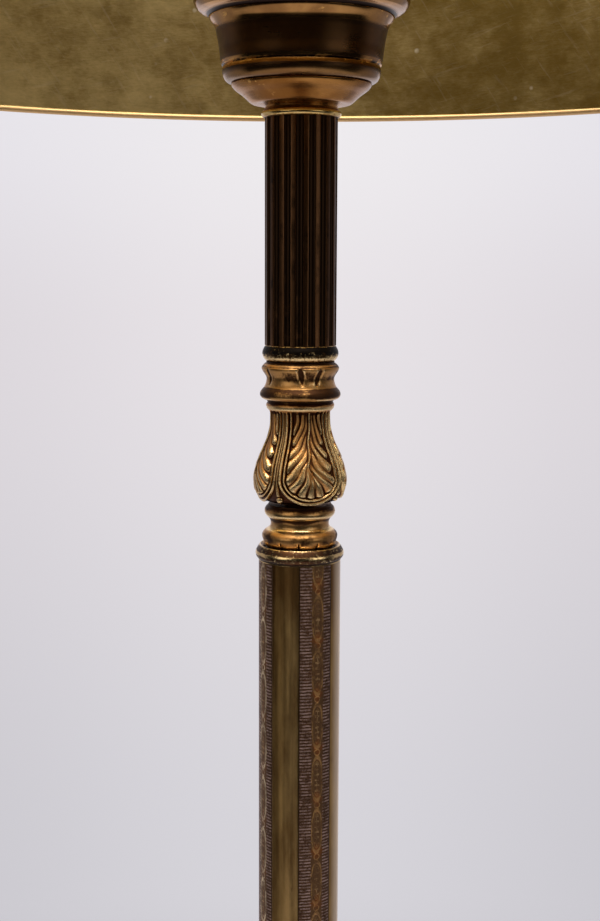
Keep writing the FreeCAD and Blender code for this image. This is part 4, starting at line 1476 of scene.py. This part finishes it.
@dataclass
class Capital(Casting):
    """The cast capital: a hollow band of broad panels and narrow tongues between two beads.

    Attributes:
        depth: Depth of the slots.
        panels: How many panels, and as many tongues, go round it.
        tongue: Degrees from the front to the first tongue's middle.
        tongue_top: Half the tongue's width at its top, in degrees, to the slot's middle.
        tongue_foot: The same at its foot.
        slot: Half the width of a slot at its foot.
        widening: How much that grows to its top.
        slot_low: Level at which the slots start.
        slot_high: Level at which they have run out.
        panel: Height of the panels, as a share of the depth.
        rim: How far a slot's rims stand above them.
        lower_bead: Level of the lower bead's upper edge.
    """

    depth: float = 0.65
    panels: int = 4
    tongue: float = 16.0
    tongue_top: float = 16.0
    tongue_foot: float = 11.5
    slot: float = 0.75
    widening: float = 0.35
    slot_low: float = 6.8
    slot_high: float = 14.9
    panel: float = 0.88
    rim: float = 0.12
    lower_bead: float = 5.5

    NAME, NODE, FINISH = "capital_cast", "capital", CAST_BRASS
    SEGMENTS = 560
    RUNS = (
        [(14.0, 0.0), (14.0, 0.6)],
        [(14.0, 0.6), (15.3, 0.8), (16.2, 1.3), (16.8, 2.0), (17.0, 2.9), (16.8, 3.8), (16.4, 4.5),
         (15.9, 5.1), (15.6, 5.5)],
        [(15.6, 5.5), (15.2, 6.1), (14.8, 7.0), (14.45, 8.3), (14.35, 9.4), (14.5, 10.3), (15.0, 11.2),
         (15.55, 12.0), (16.1, 12.9), (16.4, 13.6)],
        [(16.4, 13.6), (16.45, 14.1), (16.1, 14.7), (15.5, 15.4), (14.8, 16.0)],
        [(14.8, 16.0), (14.4, 16.2), (14.4, 16.7)],
    )
    AGE = (
        (0.0, 0.9), (0.7, 0.8), (1.2, -0.5), (1.9, 0.2), (3.0, 0.65), (4.4, 0.5), (5.4, 0.8),
        (6.2, -0.3), (8.0, -0.3), (9.5, 0.1), (12.6, 0.2), (13.6, -0.2), (14.2, 0.1), (14.9, 0.7),
        (15.3, 0.0), (16.1, 0.9), (16.7, 0.9),
    )

    def relief(self, degrees: Array, level: Array, radius: Array) -> Array:
        """Heights of the band, 0 at the bottom of a slot, with a low rim along both its sides."""
        share = ramp(level, 6.5, 7.0)
        middle = self.tongue_foot + (self.tongue_top - self.tongue_foot) * share
        aside = np.abs(nearest(degrees, self.tongue, self.panels))
        across = np.radians(aside - middle) * radius
        slot = hump(across, self.slot + self.widening * share)
        slot = slot * ramp(level, self.slot_low, 2.6) * ramp(level, self.slot_high, -1.6)
        rim = self.rim * hump(np.abs(across) - 1.6, 0.5)
        rim = rim * (ramp(level, 9.0, 2.0) * ramp(level, self.slot_high - 0.5, -1.0))
        bead = (1 - self.panel) * (level < self.lower_bead)
        return np.clip(self.panel - slot, 0, 1) + rim * (1 - slot) + bead


# ---- Fluted column and cup ------------------------------------------------------------------
@dataclass
class FlutedColumn:
    """The dark fluted tube with a worn ring at each end.

    Attributes:
        radius: Over the ridges.
        inner: Radius of the tube's bore.
        flutes: How many flutes go round it.
        first: Degrees from the front to the middle of a flute.
        depth: Depth of a flute.
        ridge: Share of the pitch that a ridge takes.
        worn: How far a flute's edges are rounded off, as a share of the depth.
        spigot: Radius of the rings' spigots in the tube.
        plug: Length of a spigot.
    """

    radius: float = 15.0
    inner: float = 12.0
    flutes: int = 18
    first: float = -2.0
    depth: float = 1.15
    ridge: float = 0.40
    worn: float = 0.05
    spigot: float = 11.9
    plug: float = 5.0

    LOW_RING = (
        [(14.0, 0.0), (14.5, 0.3), (15.25, 1.1), (15.75, 2.0), (15.97, 2.9), (15.97, 3.8),
         (15.8, 4.6), (15.45, 5.4), (15.0, 6.2), (14.8, 6.7)],
    )
    HIGH_RING = (
        [(15.0, 0.0), (15.5, 0.1), (16.2, 0.7), (16.45, 1.6), (16.2, 2.4), (15.6, 2.9)],
        [(15.6, 2.9), (15.2, 3.5), (14.8, 4.4)],
    )
    LOW_AGE = ((0.0, -0.3), (1.2, -0.8), (2.4, -0.2), (3.4, 0.4), (4.6, 0.7), (6.7, 0.8))
    # Levels 3.2 to 4.4, on the cone under the cup's bell, are rubbed bright: painted light where the
    # bell's shadow falls.
    HIGH_AGE = (
        (0.0, 0.6), (0.8, -0.3), (1.6, -0.9), (2.3, -0.2), (2.8, 0.4), (3.2, -0.4), (4.4, -0.3),
    )

    def relief(self, degrees: Array, level: Array, radius: Array) -> Array:
        """Heights of the flutes, 1 on a ridge and the same at every level."""
        aside = np.abs(nearest(degrees, self.first, self.flutes))
        half = (1 - self.ridge) * 180.0 / self.flutes
        into = np.clip(1 - (aside / half) ** 2, 0, 1)
        edge = self.worn * hump(aside - half, 0.9)
        return np.broadcast_to(1 - np.sqrt(into) - edge, radius.shape)

    def shaft(self) -> None:
        """The fluted tube."""
        rise = rise_of("fluted_column")
        steps = [(self.radius, float(level)) for level in np.linspace(0, rise, 5)]
        outline = Outline(
            [steps], [(self.inner, rise), (self.inner, 0.0)], base=low_end("fluted_column"),
            step=25.0,
        )
        piece = turned("column_fluted", outline, 1080, self.relief, self.depth)
        fit(piece, FLUTE_BRONZE, "fluted_column")

    def rings(self) -> None:
        """The worn rings under and over the fluted tube, each with its spigot in the tube."""
        spigot, end = self.spigot, self.LOW_RING[-1][-1]
        low = Outline(
            [*self.LOW_RING, [end, (spigot, end[1])]],
            [(spigot, end[1] + self.plug), (ROD_BORE, end[1] + self.plug), (ROD_BORE, 0.0)],
            base=low_end("column_lower_ring"), step=0.25, patina=self.LOW_AGE,
        )
        fit(turned("ring_lower", low, 192), RING_BRASS, "column_lower_ring")
        top = self.HIGH_RING[-1][-1][1]
        high = Outline(
            self.HIGH_RING,
            [(ROD_BORE, top), (ROD_BORE, -self.plug), (spigot, -self.plug), (spigot, 0.0)],
            base=high_end("fluted_column"), step=0.2, patina=self.HIGH_AGE,
        )
        fit(turned("ring_upper", high, 192), WORN_BRASS, "column_upper_ring")

    def build(self) -> None:
        """Makes the fluted tube and its rings."""
        self.shaft()
        self.rings()


@dataclass
class Cup:
    """The flared bronze cup on its bell.

    Attributes:
        floor: Thickness of the cup's floor.
    """

    floor: float = 1.5

    BELL = (
        [(14.9, 0.0), (16.0, 0.5), (17.6, 0.9), (19.2, 0.9), (20.4, 1.2), (21.3, 1.8), (22.3, 2.7),
         (23.4, 3.7), (24.7, 4.8), (26.0, 5.7), (27.1, 6.5), (28.0, 7.4), (28.6, 8.3), (28.7, 8.9),
         (28.3, 9.2)],
    )
    WALL = (
        [(28.0, -1.1), (29.6, -1.0), (31.0, -0.2), (31.9, 1.2), (32.3, 2.6), (32.4, 3.7),
         (32.3, 4.9), (32.0, 5.6)],
        [(32.0, 5.6), (32.6, 5.9)],
        [(32.6, 5.9), (32.8, 6.6), (33.6, 12.3), (34.4, 17.0), (34.8, 19.0), (35.2, 20.4)],
        [(35.2, 20.4), (35.7, 21.5), (36.4, 22.5), (37.1, 23.4), (37.6, 24.2), (37.75, 24.7),
         (37.5, 25.0)],
        [(37.5, 25.0), (37.6, 25.2), (38.1, 25.7), (39.0, 26.2), (40.6, 26.7), (42.0, 27.4)],
        [(42.0, 27.4), (43.0, 28.5), (43.7, 29.7), (44.0, 31.0), (43.6, 32.6), (42.3, 33.6)],
        [(42.3, 33.6), (39.0, 33.6)],
    )
    # The waist bead's underside, levels -1.1 to 3.6, is dark: patina, and painted shade.
    WALL_AGE = (
        (-1.1, 0.6), (1.0, 0.5), (3.6, 0.8), (4.4, -0.4), (6.2, -0.6), (7.4, 0.7), (19.5, 0.7),
        (21.5, 0.0), (22.6, -0.25), (24.2, -0.2), (24.7, 0.0), (25.0, 0.9), (25.9, 0.7),
        (26.6, 0.1), (33.6, 0.0),
    )

    def build(self) -> None:
        """Makes the cup and its bell, and dresses the disc that closes the cup."""
        bell = drilled("cup_bell", self.BELL, step=0.3)
        fit(turned("bell_cast", bell, 224), BELL_COPPER, "cup_bell")
        inside = [
            (38.2, 33.0), (37.1, 28.1), (35.5, 28.1), (27.2, self.floor), (ROD_BORE, self.floor),
            (ROD_BORE, 0.0),
        ]
        wall = Outline(
            self.WALL, inside, base=low_end("cup_body"), step=0.3, patina=self.WALL_AGE,
        )
        fit(turned("cup_spun", wall, 256), CUP_BRONZE, "cup_body")
        dress("cup_cover", CUP_BRONZE)


# ---- Lights and shade -----------------------------------------------------------------------
@dataclass
class Cluster:
    """The two-light cluster: arms, lampholders with turn keys, and bulbs.

    Attributes:
        reach: From the lamp's axis to each lampholder.
        holder: Radius of a lampholder.
        globe: Radius of a bulb.
        cap: Radius of a bulb's screw cap.
        thread: From turn to turn of the cap's thread.
        turns: How many turns the thread has.
        stem: Radius of a key's shaft.
        paddle: Radius of its paddle.
    """

    reach: float = 62.0
    holder: float = 20.0
    globe: float = 30.0
    cap: float = 13.2
    thread: float = 3.2
    turns: int = 5
    stem: float = 1.8
    paddle: float = 7.0

    def pair(
        self, name: str, node: str, finish: Finish, outside: Sequence[Run], inside: Run,
        segments: int = 128, step: float = 0.35,
    ) -> None:
        """Turns a piece for each of the two lampholders.

        Args:
            name: The name of the two together.
            node: The CAD node that they replace, whose foot the levels count from.
            finish: Their finish.
            outside: The outline's outside.
            inside: Its inside.
            segments: Points round the axis.
            step: The longest distance between the outline's points.
        """
        outline = Outline(outside, inside, base=low_end(node), step=step)
        twins = [turned(label, outline, segments) for label in (name, name + "_twin")]
        for twin, side in zip(twins, (1, -1)):
            moved(twin, Matrix.Translation((side * self.reach * MM, 0, 0)))
        fit(joined(name, twins), finish, node)

    def holders(self) -> None:
        """The lampholders' caps, shells and porcelain sockets."""
        r = self.holder
        outside = [
            [(6.0, 0.0), (7.6, 0.2), (8.4, 1.2), (8.6, 3.0)],
            [(8.6, 3.0), (10.4, 4.4), (14.0, 6.6), (17.2, 10.4), (19.0, 14.8)],
            [(19.0, 14.8), (r - 0.2, 15.6), (r, 16.8), (r - 0.2, 18.0)],
        ]
        inside = [(0.0, 18.0), (0.0, 0.0)]
        self.pair("holder_caps", "lampholder_caps", FITTING_BRASS, outside, inside)
        rise = rise_of("lampholder_shells")
        outside = [
            [(r - 0.1, 0.0), (r - 0.1, 3.0)],
            [(r - 0.1, 3.0), (r + 0.4, 3.6), (r + 0.4, 4.6), (r - 0.1, 5.2)],
            [(r - 0.1, 5.2), (r - 0.1, rise - 4.0)],
            [(r - 0.1, rise - 4.0), (r + 0.5, rise - 3.2), (r + 0.7, rise - 1.8),
             (r + 0.3, rise - 0.6), (r - 0.3, rise)],
        ]
        inside = [(r - 0.8, rise), (r - 0.8, 0.0)]
        self.pair("holder_shells", "lampholder_shells", FITTING_BRASS, outside, inside)
        rise, well = rise_of("lampholder_inserts"), self.cap + 0.5
        floor = low_end("bulb_caps") - low_end("lampholder_inserts")
        outside = [
            [(r - 0.9, 0.0), (r - 0.9, rise - 1.2)],
            [(r - 0.9, rise - 1.2), (r - 1.2, rise - 0.4), (r - 2.0, rise)],
            [(r - 2.0, rise), (well + 1.0, rise)],
            [(well + 1.0, rise), (well + 0.2, rise - 0.3), (well, rise - 1.0)],
        ]
        inside = [(well, floor), (0.0, floor), (0.0, 0.0)]
        self.pair("holder_sockets", "lampholder_inserts", PORCELAIN, outside, inside)

    def bulbs(self) -> None:
        """The bulbs' screw caps and opal globes."""
        r, rise = self.cap, rise_of("bulb_caps")
        thread = [(r - 0.7, 5.0)]
        for turn in range(self.turns):
            level = 6.0 + turn * self.thread
            thread += [
                (r - 0.7, level), (r, level + 1.0), (r - 0.1, level + 1.8), (r - 0.7, level + 2.8),
            ]
        outside = [
            [(0.0, 0.0), (4.5, 0.0)],
            [(4.5, 0.0), (5.0, 1.2), (7.0, 2.4)],
            [(7.0, 2.4), (r - 1.4, 3.6), (r - 0.7, 5.0)],
            thread,
            [thread[-1], (r - 0.2, rise - 2.4), (r, rise - 1.2), (r, rise)],
        ]
        self.pair("bulb_caps_threaded", "bulb_caps", LAMP_CAP, outside, [(0.0, rise)], 96)
        r, neck, rise = self.globe, self.cap, rise_of("bulb_globes")
        outside = [[
            (neck, 0.0), (neck + 0.2, 5.0), (neck + 2.4, 13.0), (neck + 7.6, 22.0),
            (r - 3.6, 32.0), (r - 0.6, 42.5), (r, 52.0), (r - 2.6, 62.8), (r - 9.2, 72.6),
            (r - 18.6, 79.8), (5.0, rise - 0.35), (0.0, rise),
        ]]
        inside = [
            (0.0, rise - 0.8), (r - 10.0, 71.8), (r - 0.8, 52.0), (r - 4.4, 32.0),
            (neck + 6.8, 22.0), (neck - 0.8, 5.0), (neck - 0.8, 0.0),
        ]
        self.pair("bulb_globes_opal", "bulb_globes", OPAL, outside, inside, 96, 1.5)

    def key(self, name: str, node: str, body: Body, side: int) -> None:
        """A turn key: a shaft that ends in a flat rounded paddle.

        Args:
            name: The piece's name.
            node: The CAD node that it replaces.
            body: What it moves with.
            side: 1 for the key on +X that points to the front, -1 for its twin.
        """
        low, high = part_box(node)
        level = (low.z + high.z) / 2
        inner, outer = sorted((abs(low.y) / MM, abs(high.y) / MM))
        length, s, p = outer - inner - self.paddle - 3.0, self.stem, self.paddle
        shaft = Outline(
            [[(0.0, 0.0), (s, 0.0)], [(s, 0.0), (s, 19.0)],
             [(s, 19.0), (2.6, 19.6), (2.8, 20.6), (2.0, 21.4), (s, 22.0)],
             [(s, 22.0), (s, length)]],
            [(0.0, length)],
        )
        paddle = Outline(
            [[(0.0, -1.1), (p / 2, -1.15), (p - 1.4, -1.5)],
             [(p - 1.4, -1.5), (p - 0.3, -1.1), (p, 0.0), (p - 0.3, 1.1), (p - 1.4, 1.5)],
             [(p - 1.4, 1.5), (p / 2, 1.15), (0.0, 1.1)]],
            step=0.3,
        )
        bar = moved(turned(name, shaft, 48), Matrix.Rotation(math.radians(90), 4, "X"))
        disc = turned(name + "_paddle", paddle, 96)
        moved(bar, Matrix.Translation((0, -inner * MM, 0)))
        moved(disc, Matrix.Translation((0, (p - outer) * MM, 0)))
        place = Matrix.Translation((self.reach * MM, 0, level))
        if side < 0:
            place = Matrix.Rotation(math.pi, 4, "Z") @ place
        fit(moved(joined(name, [bar, disc]), place), FITTING_BRASS, node, body)

    def build(self) -> None:
        """Makes the cluster's pieces and dresses its body and arms."""
        dress("cluster_body", FITTING_BRASS)
        dress("cluster_arms", FITTING_BRASS)
        self.holders()
        self.bulbs()
        self.key("key_front", "key_right", Body.KEY_RIGHT, 1)
        self.key("key_back", "key_left", Body.KEY_LEFT, -1)


@dataclass
class Shade:
    """The brass drum with its rolled edges, its carrier and the finial.

    Attributes:
        radius: The drum's outer radius.
        wall: The sheet's thickness.
        bead: Height and thickness of the rolled edges.
        finial: The finial's radius.
    """

    radius: float = 290.0
    wall: float = 0.6
    bead: float = 3.4
    finial: float = 13.0

    def drum(self) -> None:
        """The rolled sheet with a round bead along both edges."""
        rise, r, half = rise_of("shade_shell"), self.radius, self.bead / 2
        middle, inner = r - self.wall / 2, r - self.wall
        arc = [math.radians(angle) for angle in range(-90, 76, 15)]
        low_out, low_in = (
            [(middle + side * half * math.cos(a), half + half * math.sin(a)) for a in arc]
            for side in (1, -1)
        )
        high_out, high_in = (
            [(radius, rise - level) for radius, level in reversed(bead)]
            for bead in (low_out, low_in)
        )
        foot, head = low_out[-1][1] + 0.1, high_out[0][1] - 0.1
        outside = [low_out, [low_out[-1], (r, foot)], [(r, foot), (r, head)], high_out]
        inside = [*high_in[-2::-1], (inner, head), (inner, foot), *low_in[:0:-1]]
        outline = Outline(outside, inside, base=low_end("shade_shell"), step=0.5, reach=1.0)
        fit(turned("shade_drum", outline, 512), DRUM_BRASS, "shade_shell", Body.SHADE)

    def knob(self) -> None:
        """The turned finial."""
        r, rise = self.finial, rise_of("finial")
        outside = [
            [(5.1, 0.0), (9.6, 0.0)],
            [(9.6, 0.0), (10.3, 0.5), (10.4, 2.2), (10.1, 3.8), (9.2, 4.4)],
            [(9.2, 4.4), (7.8, 5.6), (7.1, 8.0), (6.9, 11.0), (7.4, 14.0), (8.6, 15.4)],
            [(8.6, 15.4), (9.2, 15.9), (9.4, 16.7), (9.0, 17.4)],
            [(9.0, 17.4), (10.6, 18.6), (12.3, 21.4), (r, 25.6), (12.4, 29.6), (10.2, 33.6),
             (7.4, 37.0), (4.8, 39.6), (2.2, rise - 0.6), (0.0, rise)],
        ]
        outline = Outline(outside, [(0.0, 11.3), (5.1, 11.3)], base=low_end("finial"))
        fit(turned("finial_turned", outline, 128), FITTING_BRASS, "finial", Body.FINIAL)

    def build(self) -> None:
        """Makes the drum and the finial, and dresses the carrier."""
        self.drum()
        self.knob()
        dress("shade_carrier", FITTING_BRASS)


# ---- Studio ---------------------------------------------------------------------------------
@dataclass(frozen=True)
class Studio:
    """The camera, the pale floor and the soft light.

    Attributes:
        distance: From the lamp's axis to the camera, in millimetres.
        eye: The camera's height.
        tilt: Degrees that the camera looks down.
        roll: Degrees that the camera leans to the left.
        lens: Focal length on the sensor.
        sensor: The sensor's width.
        floor: Radius of the floor, in metres.
        aim: The height that the lights look at, in metres.
    """

    distance: float = 588.3
    eye: float = 1150.6
    tilt: float = 8.2
    roll: float = 0.23
    lens: float = 54.72
    sensor: float = 36.0
    floor: float = 1.9
    aim: float = 0.9

    PAPER = tint(228, 226, 232), tint(233, 231, 237)
    BACKDROP = tint(213, 211, 217), tint(231, 226, 230), tint(238, 235, 238)
    BACKDROP_SIDES = tint(203, 201, 207), tint(221, 216, 221), tint(230, 227, 233)
    ROOM = (0.012, 0.012, 0.012), (0.10, 0.10, 0.105)
    ROOM_BEHIND = (0.36, 0.35, 0.375)
    BRIGHT_PAPER = (0.80, 0.78, 0.84)
    FLOOR_FADE = (-0.44, -0.02)
    WALL_FADE = (-0.06, 0.10)
    LIGHTS = (
        ("overhead", (0.0, -0.3, 3.2), (1.8, 1.8), 75),
        ("front_left", (-1.6, -1.7, 1.9), (1.5, 1.6), 10),
        ("front_right", (1.7, -1.5, 1.7), (1.3, 1.5), 7),
    )

    def camera(self) -> None:
        """The camera at the photograph's place."""
        data = bpy.data.cameras.new("camera")
        data.lens, data.sensor_width = self.lens, self.sensor
        data.clip_start = 0.02
        camera = bpy.data.objects.new("camera", data)
        camera.location = (0, -self.distance * MM, self.eye * MM)
        down = Matrix.Rotation(math.radians(90 - self.tilt), 4, "X")
        lean = Matrix.Rotation(math.radians(self.roll), 4, "Z")
        camera.rotation_euler = (down @ lean).to_euler()
        bpy.context.scene.collection.objects.link(camera)
        bpy.context.scene.camera = camera

    def floor_disc(self) -> None:
        """A pale round floor that fades into the surroundings at its edge."""
        mesh = bpy.data.meshes.new("floor")
        work = bmesh.new()
        bmesh.ops.create_circle(work, cap_ends=True, segments=96, radius=self.floor)
        work.to_mesh(mesh)
        work.free()
        floor = bpy.data.objects.new("floor", mesh)
        bpy.context.scene.collection.objects.link(floor)
        recipe = Recipe(bpy.data.materials.new("paper"))
        away = recipe.step("VectorMath", {0: recipe.place()}, "Value", operation="LENGTH")
        seen = away.between(self.floor, 0.5 * self.floor)
        fibres = recipe.noise(60, 4, 0.6)
        colour = recipe.mix(fibres.between(0.2, 0.8), *self.PAPER)
        mesh.materials.append(recipe.surface(Base_Color=colour, Roughness=0.9, Alpha=seen))
        floor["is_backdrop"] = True

    def backdrop(self, recipe: Recipe, rise: Value, colours: Sequence[Colour]) -> Value:
        """The backdrop's colour from the floor up.

        Args:
            recipe: The surroundings' tree.
            rise: How far a line of sight climbs, -1 to 1.
            colours: Near the floor, just under eye level and above it.

        Returns:
            The colour.
        """
        low, middle, high = colours
        colour = recipe.mix(rise.between(*self.FLOOR_FADE), low, middle)
        return recipe.mix(rise.between(*self.WALL_FADE), colour, high)

    def surroundings(self) -> None:
        """A plain backdrop for the eye, and a dim room with bright paper behind the lamp."""
        world = bpy.data.worlds.new("studio")
        bpy.context.scene.world = world
        recipe = Recipe(world)
        x, y, z = recipe.axes("Generated")
        sideways = abs(x)
        seen = recipe.mix(
            sideways.between(0.02, 0.26),
            self.backdrop(recipe, z, self.BACKDROP), self.backdrop(recipe, z, self.BACKDROP_SIDES),
        )
        paper = (sideways / y.most(0.001)).between(0.65, 0.45) * z.between(0.75, 0.6)
        behind = y.between(0.0, 0.3) * z.between(0.6, 0.3)
        light = recipe.mix(z.between(0.1, 0.9), *self.ROOM)
        light = recipe.mix(behind, light, self.ROOM_BEHIND)
        light = recipe.mix(paper, light, self.BRIGHT_PAPER)
        shown = recipe.mix(recipe.step("LightPath", {}, "Is Camera Ray"), light, seen)
        recipe.end("OutputWorld", recipe.step("Background", {"Color": shown}))

    def light(self, name: str, place: Colour, size: Point, watts: float) -> None:
        """A soft rectangular light that looks at the lamp's column.

        Args:
            name: The light's name.
            place: Where it hangs, in metres.
            size: Its width and height, in metres.
            watts: Its power.
        """
        data = bpy.data.lights.new(name, "AREA")
        data.shape = "RECTANGLE"
        data.size, data.size_y = size
        data.energy = watts
        light = bpy.data.objects.new(name, data)
        light.location = place
        aim = Vector((0, 0, self.aim)) - Vector(place)
        light.rotation_euler = aim.to_track_quat("-Z", "Y").to_euler()
        bpy.context.scene.collection.objects.link(light)

    def build(self) -> None:
        """Sets up the studio."""
        self.camera()
        self.floor_disc()
        self.surroundings()
        for light in self.LIGHTS:
            self.light(*light)
        bpy.context.scene.view_settings.view_transform = "Standard"
        bpy.context.scene.view_settings.look = "None"


def write_sizes() -> None:
    """Sets the CAD box and the visual model's box side by side, and does nothing more with them."""
    boxes = {"cad": CAD_BOX, "visual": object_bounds()}
    plain = {name: [list(corner) for corner in box] for name, box in boxes.items()}


def main() -> None:
    """Builds the lamp from the floor up, then the studio."""
    logging.basicConfig(level=logging.INFO, format="%(name)s %(message)s")
    assemblies = (
        Base(), Tube(), KnopFoot(), Knop(), Capital(), FlutedColumn(), Cup(), Cluster(), Shade(),
    )
    for assembly in assemblies:
        assembly.build()
    Studio().build()
    write_sizes()


if __name__ == "__main__":
    main()
